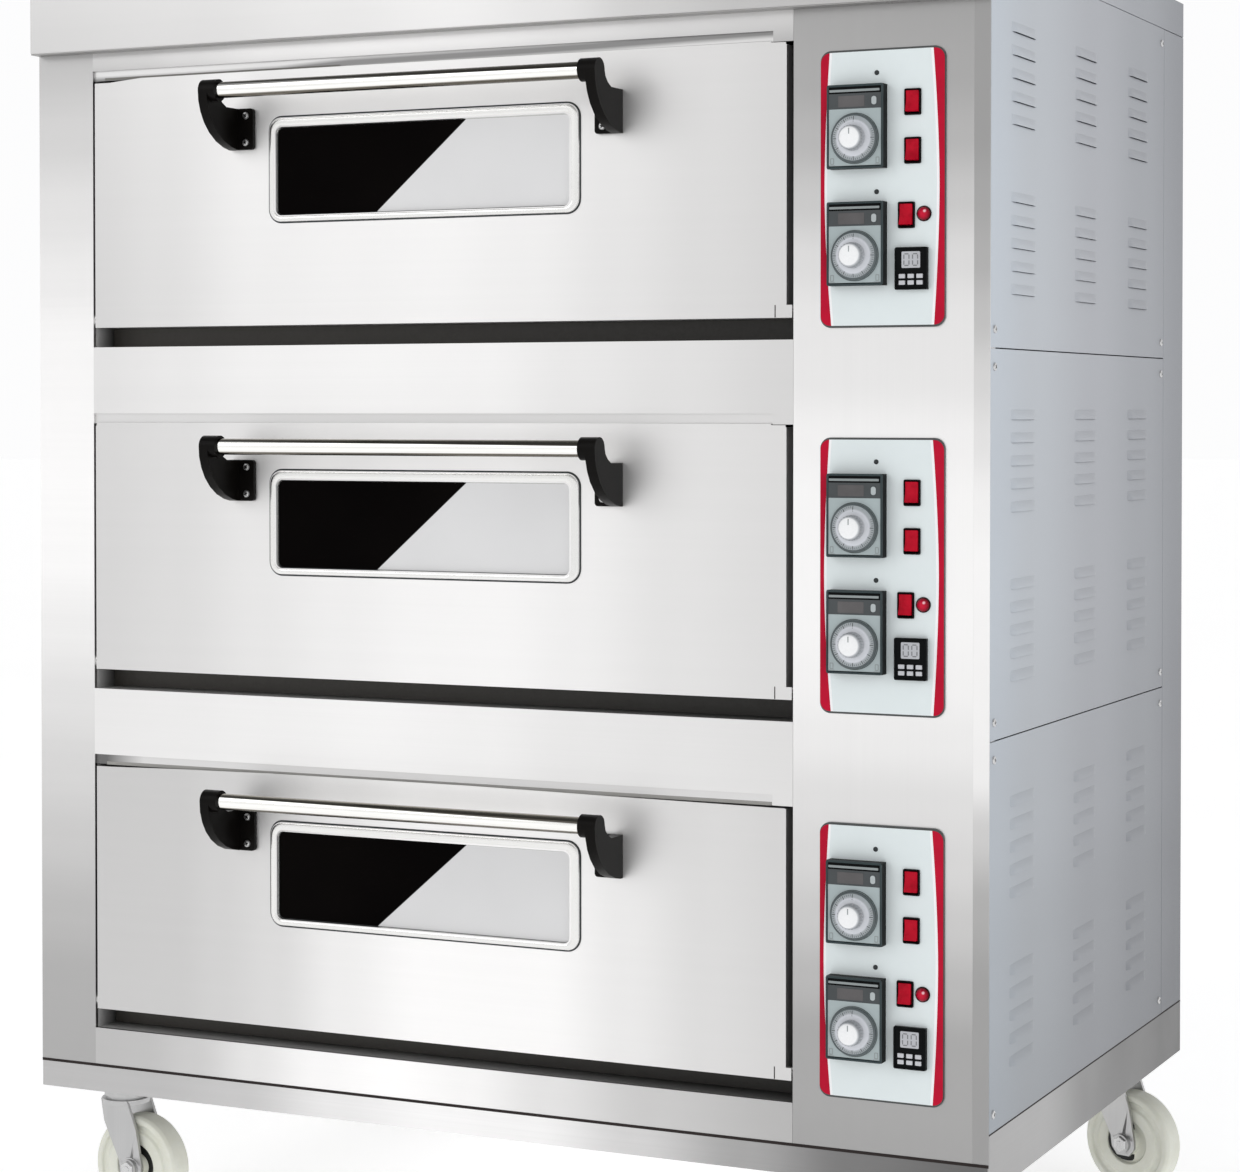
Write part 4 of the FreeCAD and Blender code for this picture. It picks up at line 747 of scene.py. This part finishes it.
# ---------------------------------------------------------------- louvre hoods on the right-hand panels
hoods = Shell()
for k in range(3):
    for base in (62.0, 246.0):
        for i in range(5):
            zc = 236.0 + 420.0 * k + base + 25.0 * i
            for y0 in (75.0, 315.0, 540.0):
                nu, nv, high = 12, 5, 3.2
                outer, inner = [], []
                for a in range(nu + 1):
                    u = a / nu
                    yy = y0 - 3.0 + 86.0 * u
                    e = min(u, 1 - u) * 86.0 / 9.0
                    e = min(1.0, e)
                    e = e * e * (3 - 2 * e)
                    ro, ri = [], []
                    for b in range(nv + 1):
                        t = b / nv
                        s = math.sin(t * math.pi / 2)
                        zz = zc + 8.5 - 11.0 * t
                        ro.append((1230.05 + high * s * e, yy, zz))
                        ri.append((1230.05 + high * s * e - 0.9, yy, zz))
                    outer.append(ro)
                    inner.append(ri)
                v = [p for r in outer for p in r] + [p for r in inner for p in r]
                off = (nu + 1) * (nv + 1)
                f = []
                for a in range(nu):
                    for b in range(nv):
                        q = a * (nv + 1) + b
                        f.append((q, q + 1, q + nv + 2, q + nv + 1))
                        f.append((q + off, q + nv + 1 + off, q + nv + 2 + off, q + 1 + off))
                rim = [(a * (nv + 1), (a + 1) * (nv + 1)) for a in range(nu)]
                rim += [((a + 1) * (nv + 1) + nv, a * (nv + 1) + nv) for a in range(nu)]
                rim += [(b + 1, b) for b in range(nv)]
                rim += [(nu * (nv + 1) + b, nu * (nv + 1) + b + 1) for b in range(nv)]
                for p, q in rim:
                    f.append((p, q, q + off, p + off))
                hoods.add(v, f)
hoods.build("louvre_hoods", "side_sheet", "casing", "side_sheet", 50.0)

# ---------------------------------------------------------------- painted gap shadows, corner strip, crown return
# near-black strips where the body meets the base: painted shadow of the joint gap
seam = Shell()
seam.box(-0.05, 1230.05, -0.45, 0.6, 201.2, 204.6)
seam.box(1229.6, 1230.35, 1.5, 799.0, 235.2, 236.8)
seam.box(-0.35, 0.4, 1.5, 799.0, 235.2, 236.8)
seam.box(1.0, 1229.0, 799.6, 800.3, 235.2, 236.8)
seam.build("base_sealant", "sealant", "casing", "base_steel", bevel=0.25)
# folded corner trim; its steel carries painted reflection along Z
strip = Shell()
strip.box(1212.0, 1230.0, -0.7, 0.2, 205.0, 1447.6)
strip.build("corner_strip", "brushed_strip", "casing", "front_stainless", bevel=0.35)
# return under the crown, in dark steel as painted shade beneath the crown's lip
crown_lip = Shell()
crown_lip.box(0.3, 1229.7, -17.4, -0.6, 1447.0, 1448.2)
crown_lip.build("crown_return", "crown_under", "casing", "front_stainless", bevel=0.3)


# ---------------------------------------------------------------- screws
def screw_shell(r=4.5, h=2.2, arms=True):
    """Pan head with a cross recess, at the origin and pointing to -Y."""
    s = Shell()
    prof = [(0.0, -0.6), (r * 0.8, -0.6), (r, 0.0), (r, h * 0.45), (r * 0.93, h * 0.72), (r * 0.74, h * 0.93), (r * 0.5, h), (0.0, h + 0.05)]
    s.lathe((0, 0, 0), (0, -1, 0), prof, 28)
    me = bpy.data.meshes.new("head")
    me.from_pydata(s.v, [], s.f)
    bm = bmesh.new()
    bm.from_mesh(me)
    bmesh.ops.recalc_face_normals(bm, faces=bm.faces)
    bm.to_mesh(me)
    bm.free()
    head = bpy.data.objects.new("head", me)
    bpy.context.scene.collection.objects.link(head)
    c = Shell()
    w, l = r * 0.15, r * 0.56
    out = [(w, w), (l, w), (l, -w), (w, -w), (w, -l), (-w, -l), (-w, -w), (-l, -w), (-l, w), (-w, w), (-w, l), (w, l)]
    c.plate([out], -h - 1.0, -h * 0.42)
    mc = bpy.data.meshes.new("cross")
    mc.from_pydata(c.v, [], c.f)
    bm = bmesh.new()
    bm.from_mesh(mc)
    bmesh.ops.recalc_face_normals(bm, faces=bm.faces)
    bm.to_mesh(mc)
    bm.free()
    cross = bpy.data.objects.new("cross", mc)
    bpy.context.scene.collection.objects.link(cross)
    m = head.modifiers.new("cut", "BOOLEAN")
    m.operation = "DIFFERENCE"
    m.solver = "EXACT"
    m.object = cross
    dg = bpy.context.evaluated_depsgraph_get()
    res = bpy.data.meshes.new_from_object(head.evaluated_get(dg))
    verts = [tuple(v.co) for v in res.vertices]
    faces = [tuple(p.vertices) for p in res.polygons]
    bpy.data.objects.remove(head)
    bpy.data.objects.remove(cross)
    return verts, faces


def place(shell, part, at, to, turn=0.0):
    """Adds a part that points to -Y, turned about that axis, then aimed along `to`."""
    verts, faces = part
    ca, sa = math.cos(turn), math.sin(turn)
    q = Vector((0, -1, 0)).rotation_difference(Vector(to))
    out = []
    for x, y, z in verts:
        p = q @ Vector((x * ca - z * sa, y, x * sa + z * ca))
        out.append((p.x + at[0], p.y + at[1], p.z + at[2]))
    shell.add(out, faces)


big = screw_shell(4.5, 2.2)
small = screw_shell(4.4, 2.3)
heads = Shell()
n = 0
for k in range(3):
    for side in (0, 1):
        for yy, zz in ((14.0, 20.0), (14.0, 400.0), (690.0, 20.0), (690.0, 400.0)):
            n += 1
            place(heads, big, (1230.0 if side else 0.0, yy, 236.0 + 420.0 * k + zz), (1, 0, 0) if side else (-1, 0, 0), n * 0.7)
    for xx in (30.0, 615.0, 1200.0):
        n += 1
        place(heads, big, (xx, 800.0, 446.0 + 420.0 * k), (0, 1, 0), n * 0.7)
screws = heads.build("casing_screws", "screw_steel", "casing", "screw_steel", 30.0)
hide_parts("panel_screws")
dots = Shell()
for tag, k in DECKS:
    for up in (158.0, 286.0):
        dots.lathe((1103.0, -3.5, sill(k) + up), (0, -1, 0), [(0, 0), (2.7, 0), (2.7, 0.5), (2.2, 1.0), (1.2, 1.25), (0, 1.3)], 24)
dots.build("fascia_studs", "mark_dark", "casing", "screw_steel")

# ---------------------------------------------------------------- doors
for tag, k in DECKS:
    body, z0 = "door_" + tag, sill(k)
    zc = z0 + 208.5
    # window trim: a rounded frame over the pressed surround; the glass sits a little low and left in it
    gx, gz = 538.5, z0 + 206.5
    prof = [(-.10, 1.7), (-.05, 0.3), (.05, -1.6), (.20, -2.8), (.42, -3.2), (.68, -3.15), (.86, -2.8), (.97, -1.6), (1.0, 0.0), (1.0, 0.3), (.35, 0.3), (-.03, 1.7)]

    def between(t, grow=0.0):
        return rrect(gx + (540.0 - gx) * t, gz + (zc - gz) * t, 389.0 + (410.4 - 389.0) * t + grow, 105.0 + (124.4 - 105.0) * t + grow, 8.0 + 8.0 * t + grow / 2, 9)

    t = Shell()
    t.loft([ring3(between(d), y) for d, y in prof])
    t.build("window_trim_" + tag, "trim_steel", body, "front_stainless", 40.0)
    g = Shell()
    g.plate([between(1.0, 3.0), between(1.0, -1.0)], -0.55, 0.2)
    g.build("window_gasket_" + tag, "mark_dark", body, "front_stainless")
    g = Shell()
    g.plate([between(0.0), between(0.0, -2.0)], 1.2, 1.9)
    g.build("glass_gasket_" + tag, "mark_dark", body, "front_stainless")
    # retaining frame of the inner pane, with its screws
    g = Shell()
    g.plate([rrect(gx, gz, 436.0, 150.0, 10.0, 5), rrect(gx, gz, 387.0, 103.0, 4.0, 5)], 39.9, 41.2)
    g.build("inner_frame_" + tag, "liner_steel", body, "front_stainless", bevel=0.3)
    g = Shell()
    for sx in (-204.0, -68.0, 68.0, 204.0):
        for sz in (-63.0, 63.0):
            g.lathe((gx + sx, 41.1, gz + sz), (0, 1, 0), [(0, 0), (3.6, 0), (3.5, 0.4), (2.6, 0.85), (0, 1.0)], 20)
    g.build("inner_frame_screws_" + tag, "screw_steel", body, "screw_steel")
    # bracket screws over the plain heads
    g = Shell()
    for sx in (304.0, 776.0):
        for dz in (-25.0, -57.0):
            place(g, small, (sx, -5.1, z0 + 299.0 + dz), (0, -1, 0), sx + dz)
    g.build("bracket_screws_" + tag, "zinc", body, "screw_steel", 30.0)
    # oven door rope seal, on the chamber front
    g = Shell()
    rings = []
    for d, y in ((0.0, 43.0), (1.2, 41.4), (4.5, 40.7), (7.8, 41.4), (9.0, 43.0)):
        rings.append(ring3(rrect(530.0, z0 + 172.0, 864.0 + 2 * d, 224.0 + 2 * d, 14.0 + d, 6), y))
    g.loft(rings)
    g.build("door_seal_" + tag, "rope_seal", "casing", "chamber_steel", 60.0)
    # lip along the top edge, standing in front of the header
    g = Shell()
    y0, y1, zl = -0.05, 1.9, z0 + 322.0
    if tag == "middle":
        pts = [(84.0, zl), (84.0, z0 + 327.2), (979.0, z0 + 327.2), (979.0, z0 + 325.5), (996.0, z0 + 325.5), (996.0, zl)]
    else:
        pts = [(84.0, zl), (84.0, z0 + 323.3), (104.0, z0 + 323.3), (150.0, z0 + 327.2), (979.0, z0 + 327.2), (979.0, z0 + 325.5), (996.0, z0 + 325.5), (996.0, zl)]
    if tag == "lower":
        pts = [(84.0, zl), (84.0, z0 + 323.3), (104.0, z0 + 323.3), (200.0, z0 + 325.4), (330.0, z0 + 327.0), (600.0, z0 + 327.0),
               (800.0, z0 + 325.0), (979.0, z0 + 323.6), (996.0, z0 + 323.6), (996.0, zl)]
    g.plate([pts], y0, y1)
    g.build("door_lip_" + tag, "brushed_door_" + tag, body, "front_stainless", bevel=0.5)
    # painted shadow strip along the foot of the header, darker on the upper deck than on the lower
    if tag != "middle":
        h = Shell()
        h.box(96.0, 979.0 if tag == "lower" else 430.0, 2.62, 3.1, z0 + (325.3 if tag == "lower" else 326.6), z0 + 329.4)
        h.build("header_seal_" + tag, "seal_" + tag, "casing", "front_stainless", bevel=0.2)
    # thin painted shadow line that sets off the corner lug and the header tab
    g = Shell()
    g.box(983.0, 984.1, -0.22, 0.3, z0 + 24.4, z0 + 38.0)
    g.build("lug_seam_" + tag, "sealant", body, "front_stainless")

# ---------------------------------------------------------------- control fascias


def barrel(cx, z_low, z_high, left_side, right_side, n=18):
    """Outline with straight ends and bowed sides; each side is (bottom, middle, top) half widths."""
    zc, hz = (z_low + z_high) / 2, (z_high - z_low) / 2
    right, left = [], []
    for i in range(n + 1):
        s = -1 + 2 * i / n
        e = abs(s) ** 1.7
        lw = left_side[1] - (left_side[1] - left_side[2 if s > 0 else 0]) * e
        rw = right_side[1] - (right_side[1] - right_side[2 if s > 0 else 0]) * e
        right.append((cx + rw, zc + s * hz))
        left.append((cx - lw, zc + s * hz))
    return right + left[::-1]


red, white, field = Shell(), Shell(), Shell()
trims, faces, glints, strips_d, windows, lenses, dial_gap_shadows, corners = (Shell() for _ in range(8))
bezels, screens, segments_on, lamp_rings, rocker_rims = (Shell() for _ in range(5))
for tag, k in DECKS:
    z0 = sill(k)
    zf, cx = z0 + 12.0, 1109.0

    def holes(grow):
        h = [rrect(1083.0, z0 + 102.0 + 126.0 * j, 60.5 + grow, 84.5 + grow, 0.6, 2) for j in (0, 1)]
        h += [rrect(rx, z0 + rz, 17.0 + grow, 26.2 + grow, 0.6, 2) for t, rx, rz in ROCKERS]
        h.append(rrect(1144.0, z0 + 74.5, 32.0 + grow, 41.0 + grow, 0.6, 2))
        h.append(disc(1157.0, z0 + 133.0, 5.0 + grow / 2, 28))
        return h

    red.plate([rrect(cx, zf + 150.0, 141.6, 295.4, 11.0, 8)] + holes(0.0), -3.30, -2.9)
    white.plate([barrel(cx, zf + 2.25, zf + 297.75, (58.2, 66.2, 60.4), (59.3, 65.2, 58.2))] + holes(0.1), -3.45, -3.2)
    field.plate([barrel(cx, zf + 2.2, zf + 297.8, (55.5, 63.3, 57.6), (56.5, 62.3, 55.4))] + holes(0.2), -3.60, -3.35)
    for j, pos in ((0, "bottom"), (1, "top")):
        zb = z0 + 57.0 + 126.0 * j
        zm = zb + 45.0
        rim = [((0.0, -16.6), (0.0, -17.9), (0.9, -18.4), (1.9, -18.2), (2.4, -17.4), (2.4, -16.6))]
        trims.loft([ring3(rrect(1083.0, zm, 64.4 - 2 * d, 90.4 - 2 * d, max(0.4, 2.2 - d), 4), y) for d, y in rim[0]])
        faces.plate([rrect(1083.0, zb + 33.4, 59.8, 61.0, 0.5, 2), disc(1083.0, zb + 32.0, 6.0, 24)], -17.35, -16.8)
        strips_d.plate([rrect(1083.0, zb + 72.2, 59.8, 16.6, 0.4, 2)], -17.5, -16.8)
        windows.plate([rrect(1079.0, zb + 72.0, 30.0, 12.2, 1.0, 4)], -17.75, -17.4)
        lenses.plate([rrect(1105.0, zb + 72.0, 5.6, 9.0, 2.6, 6)], -18.2, -17.4)
        # pale line along the top of each controller: a painted highlight
        glints.plate([rrect(1082.4, zb + 83.6, 57.4, 2.6, 0.6, 3)], -17.7, -16.8)
        # dark ring just outside each dial: painted shade of the gap round the dial
        dial_gap_shadows.plate([disc(1083.0, zb + 32.0, 27.6, 72), disc(1083.0, zb + 32.0, 26.7, 72)], -17.50, -17.2)
        for dx in (-26.0, 26.0):
            corners.plate([rrect(1083.0 + dx, zb + 8.0, 4.2, 7.0, 0.8, 3), rrect(1083.0 + dx, zb + 8.0, 2.6, 5.2, 0.5, 3)], -17.55, -17.2)
            corners.box(1083.0 + dx - 3.6, 1083.0 + dx + 3.6, -17.5, -17.2, zb + 3.4, zb + 3.9)
        # dial details
        db = "dial_%s_%s" % (tag, pos)
        c0 = (1083.0, -17.0, zb + 32.0)
        d = Shell()
        d.lathe(c0, (0, -1, 0), [(25.1, 0.75), (26.4, 1.0), (26.5, 3.2), (25.9, 4.4), (24.7, 4.9), (24.2, 4.5), (25.0, 3.6)], 72)
        d.build("dial_rim_%s_%s" % (tag, pos), "rim_grey", db, "instrument_case", 50.0)
        d = Shell()
        for i in range(50):
            t = math.radians(120.0 - 30.0 + 6.0 * i)
            long = i % 5 == 0
            r0, r1, hw = (19.6 if long else 21.4), 23.6, (0.34 if long else 0.2)
            pts = []
            for r, s in ((r0, -1), (r1, -1), (r1, 1), (r0, 1)):
                x = r * math.cos(t) - s * hw * math.sin(t)
                z = r * math.sin(t) + s * hw * math.cos(t)
                h = 4.2 + (25.0 - r) / 7.5 * 1.4
                pts.append((x, h, z))
            v = [(c0[0] + x, c0[1] - h + 0.15, c0[2] + z) for x, h, z in pts] + [(c0[0] + x, c0[1] - h - 0.10, c0[2] + z) for x, h, z in pts]
            d.add(v, [(0, 1, 2, 3), (7, 6, 5, 4), (0, 4, 5, 1), (1, 5, 6, 2), (2, 6, 7, 3), (3, 7, 4, 0)])
        d.build("dial_scale_%s_%s" % (tag, pos), "mark_dark", db, "dial_white")
        d = Shell()

        def flute(t, r, h):
            return 0.38 * math.cos(24 * t) if 12.0 < r < 14.0 and 7.5 < h < 16.5 else 0.0

        d.lathe(c0, (0, -1, 0), [(0, 6.4), (13.2, 6.4), (13.9, 7.0), (13.6, 8.0), (13.1, 15.8), (12.3, 17.5), (10.9, 18.5), (8.0, 18.9), (0, 19.0)], 144, flute)
        d.build("dial_grip_%s_%s" % (tag, pos), "grip_%s_%d" % (tag, 89 + 126 * j), db, "dial_white", 50.0)
        d = Shell()
        d.box(1083.0 - 0.55, 1083.0 + 0.55, -36.15, -35.6, zb + 32.0 + 3.5, zb + 32.0 + 9.8)
        d.box(1083.0 - 0.5, 1083.0 + 0.5, -22.6, -21.4, zb + 32.0 + 14.6, zb + 32.0 + 18.6)
        d.build("dial_pointer_%s_%s" % (tag, pos), "glint_grey", db, "dial_white", bevel=0.15)
    # timer
    zt = z0 + 52.0
    bezels.loft([ring3(rrect(1144.0, zt + 22.5, 36.6 - 2 * d, 45.6 - 2 * d, max(0.4, 2.0 - d), 4), y)
                 for d, y in ((0.0, -8.4), (0.0, -9.7), (0.8, -10.1), (1.8, -9.9), (2.3, -9.2), (2.3, -8.4))])
    screens.plate([rrect(1144.0, zt + 31.8, 21.0, 17.6, 1.2, 4)], -9.35, -8.9)
    for dx in (-4.9, 4.9):
        sx, sz = 1144.0 + dx, zt + 31.8
        for x, z, w, h in ((0, 6.2, 4.6, 1.2), (0, 0, 4.6, 1.2), (0, -6.2, 4.6, 1.2), (-2.9, 3.1, 1.2, 4.6), (2.9, 3.1, 1.2, 4.6), (-2.9, -3.1, 1.2, 4.6), (2.9, -3.1, 1.2, 4.6)):
            if (x, z) != (0, 0):
                segments_on.plate([rrect(sx + x, sz + z, w, h, 0.4, 2)], -9.5, -9.3)
    lamp_rings.lathe((1157.0, -3.5, z0 + 133.0), (0, -1, 0), [(7.3, 0.0), (8.4, 0.0), (8.4, 1.0), (8.1, 1.5), (7.7, 1.6), (7.6, 0.9)], 40)
    for t, rx, rz in ROCKERS:
        rocker_rims.loft([ring3(rrect(rx, z0 + rz, 18.9 - 2 * d, 28.4 - 2 * d, max(0.3, 1.8 - d), 4), y)
                          for d, y in ((0.0, -3.55), (0.0, -5.6), (0.6, -6.2), (1.3, -6.15), (1.75, -5.4), (1.75, -4.2))])
red.build("fascia_red_band", "fascia_red", "casing", "fascia_sheet", bevel=0.12)
white.build("fascia_white_line", "fascia_white", "casing", "fascia_sheet")
field.build("fascia_field", "fascia_field", "casing", "fascia_sheet", bevel=0.08)
trims.build("controller_trims", "trim_teal", "casing", "instrument_case", 50.0)
faces.build("controller_faces", "face_grey", "casing", "instrument_case")
strips_d.build("controller_strips", "strip_dark", "casing", "instrument_case", bevel=0.15)
windows.build("controller_windows", "window_dark", "casing", "instrument_case", bevel=0.12)
lenses.build("controller_lenses", "lens_white", "casing", "instrument_case", bevel=0.35, segments=3)
glints.build("controller_top_ribs", "glint_grey", "casing", "instrument_case", bevel=0.25)
dial_gap_shadows.build("controller_dial_rings", "rim_grey", "casing", "instrument_case")
corners.build("controller_corner_marks", "glint_grey", "casing", "instrument_case")
bezels.build("timer_bezels", "case_black", "casing", "instrument_case", 50.0)
screens.build("timer_screens", "display_pale", "casing", "instrument_case", bevel=0.15)
segments_on.build("timer_segments", "segment_grey", "casing", "instrument_case")
lamp_rings.build("lamp_rings", "bezel_black", "casing", "switch_case", 50.0)
rocker_rims.build("rocker_rims", "bezel_black", "casing", "switch_case", 50.0)

# ---------------------------------------------------------------- casters
for tag, cx, cy, ang in CASTERS:
    a = math.radians(ang)
    ax = Vector((-math.sin(a), math.cos(a), 0.0))
    hub = Vector((cx + 27.0 * math.cos(a), cy + 27.0 * math.sin(a), 63.5))
    b = Shell()
    for s in (1, -1):
        v = []
        up = Vector((0, 0, 1))
        side = ax.cross(up)
        rings = []
        for r, h in ((9.4, 26.0), (10.4, 26.6), (10.4, 31.2), (9.2, 32.6)):
            row = []
            for i in range(6):
                t = math.pi * i / 3
                p = hub + ax * (s * h) + up * (r * math.cos(t)) + side * (r * math.sin(t))
                row.append(tuple(p))
            rings.append(row)
        n0 = len(b.v)
        b.add([p for r in rings for p in r], [])
        for q in range(3):
            for i in range(6):
                j = (i + 1) % 6
                b.f.append((n0 + q * 6 + i, n0 + q * 6 + j, n0 + (q + 1) * 6 + j, n0 + (q + 1) * 6 + i))
        b.f.append(tuple(n0 + i for i in range(5, -1, -1)))
        b.f.append(tuple(n0 + 18 + i for i in range(6)))
        b.lathe(tuple(hub + ax * (s * 23.2)), tuple(ax * s), [(8.3, 0), (13.2, 0), (13.6, 0.8), (13.2, 2.4), (8.3, 2.8)], 32)
        b.lathe(tuple(hub + ax * (s * 32.0)), tuple(ax * s), [(0, 0), (4.6, 0), (4.4, 1.5), (0, 1.9)], 20)
    b.build("axle_bolt_" + tag, "screw_steel", "caster_" + tag, "fork_zinc", 30.0, bevel=0.3)
    w = Shell()
    for s in (1, -1):
        w.lathe(tuple(hub + ax * (s * 9.2)), tuple(ax * s), [(16.8, 0.0), (26.6, 0.0), (26.4, 1.6), (24.0, 2.4), (19.0, 2.6), (17.0, 1.8)], 48)
    w.build("wheel_seal_" + tag, "wheel_seal", "wheel_" + tag, "wheel_nylon", 50.0)

# ---------------------------------------------------------------- studio
floor_me = bpy.data.meshes.new("floor")
bm = bmesh.new()
bmesh.ops.create_circle(bm, cap_ends=True, segments=96, radius=60.0)
bm.to_mesh(floor_me)
bm.free()
floor = bpy.data.objects.new("floor", floor_me)
bpy.context.scene.collection.objects.link(floor)
fg = Graph("floor_pale")
fn = fg.noise(fg.mapping((1, 1, 1)), 1.4, 3.0, 0.5)
fg.put(fg.b.inputs["Base Color"], fg.ramp(fn, ((.3, (.90, .90, .90)), (.7, (.93, .93, .93)))))
fg.const(Roughness=0.75, Specular_IOR_Level=0.1, Emission_Color=(1, 1, 1), Emission_Strength=0.50)
floor_me.materials.append(fg.mat)

world = bpy.data.worlds.new("studio")
bpy.context.scene.world = world
world.use_nodes = True
wn = world.node_tree
bg = wn.nodes["Background"]
tcw = wn.nodes.new("ShaderNodeTexCoord")
sep = wn.nodes.new("ShaderNodeSeparateXYZ")
wn.links.new(tcw.outputs["Generated"], sep.inputs[0])
up = wn.nodes.new("ShaderNodeValToRGB")
up.color_ramp.interpolation = "EASE"
el = up.color_ramp.elements
while len(el) < 6:
    el.new(0.5)
for e, (p, c) in zip(el, ((0.0, .98), (0.60, .98), (0.70, .90), (0.79, .30), (0.90, .34), (1.0, .62))):
    e.position = p
    e.color = (c, c, c * 1.005, 1.0)
half = wn.nodes.new("ShaderNodeMath")
half.operation = "MULTIPLY_ADD"
half.inputs[1].default_value = 0.5
half.inputs[2].default_value = 0.5
wn.links.new(sep.outputs[2], half.inputs[0])
wn.links.new(half.outputs[0], up.inputs[0])
wn.links.new(up.outputs[0], bg.inputs["Color"])
bg.inputs["Strength"].default_value = 1.0


def softbox(name, at, aim, size, power, tint=(1, 1, 1)):
    d = bpy.data.lights.new(name, "AREA")
    d.shape = "RECTANGLE"
    d.size, d.size_y = size
    d.energy = power
    d.color = tint
    o = bpy.data.objects.new(name, d)
    bpy.context.scene.collection.objects.link(o)
    o.location = at
    o.rotation_euler = (Vector(aim) - Vector(at)).to_track_quat("-Z", "Y").to_euler()
    return o


softbox("key", (-2.6, -3.4, 3.4), (0, 0, 0.8), (2.4, 2.4), 26.0)
softbox("fill", (3.8, -1.5, 2.6), (0.3, 0, 0.8), (2.0, 2.0), 14.0)
bpy.context.scene.view_settings.view_transform = "Standard"
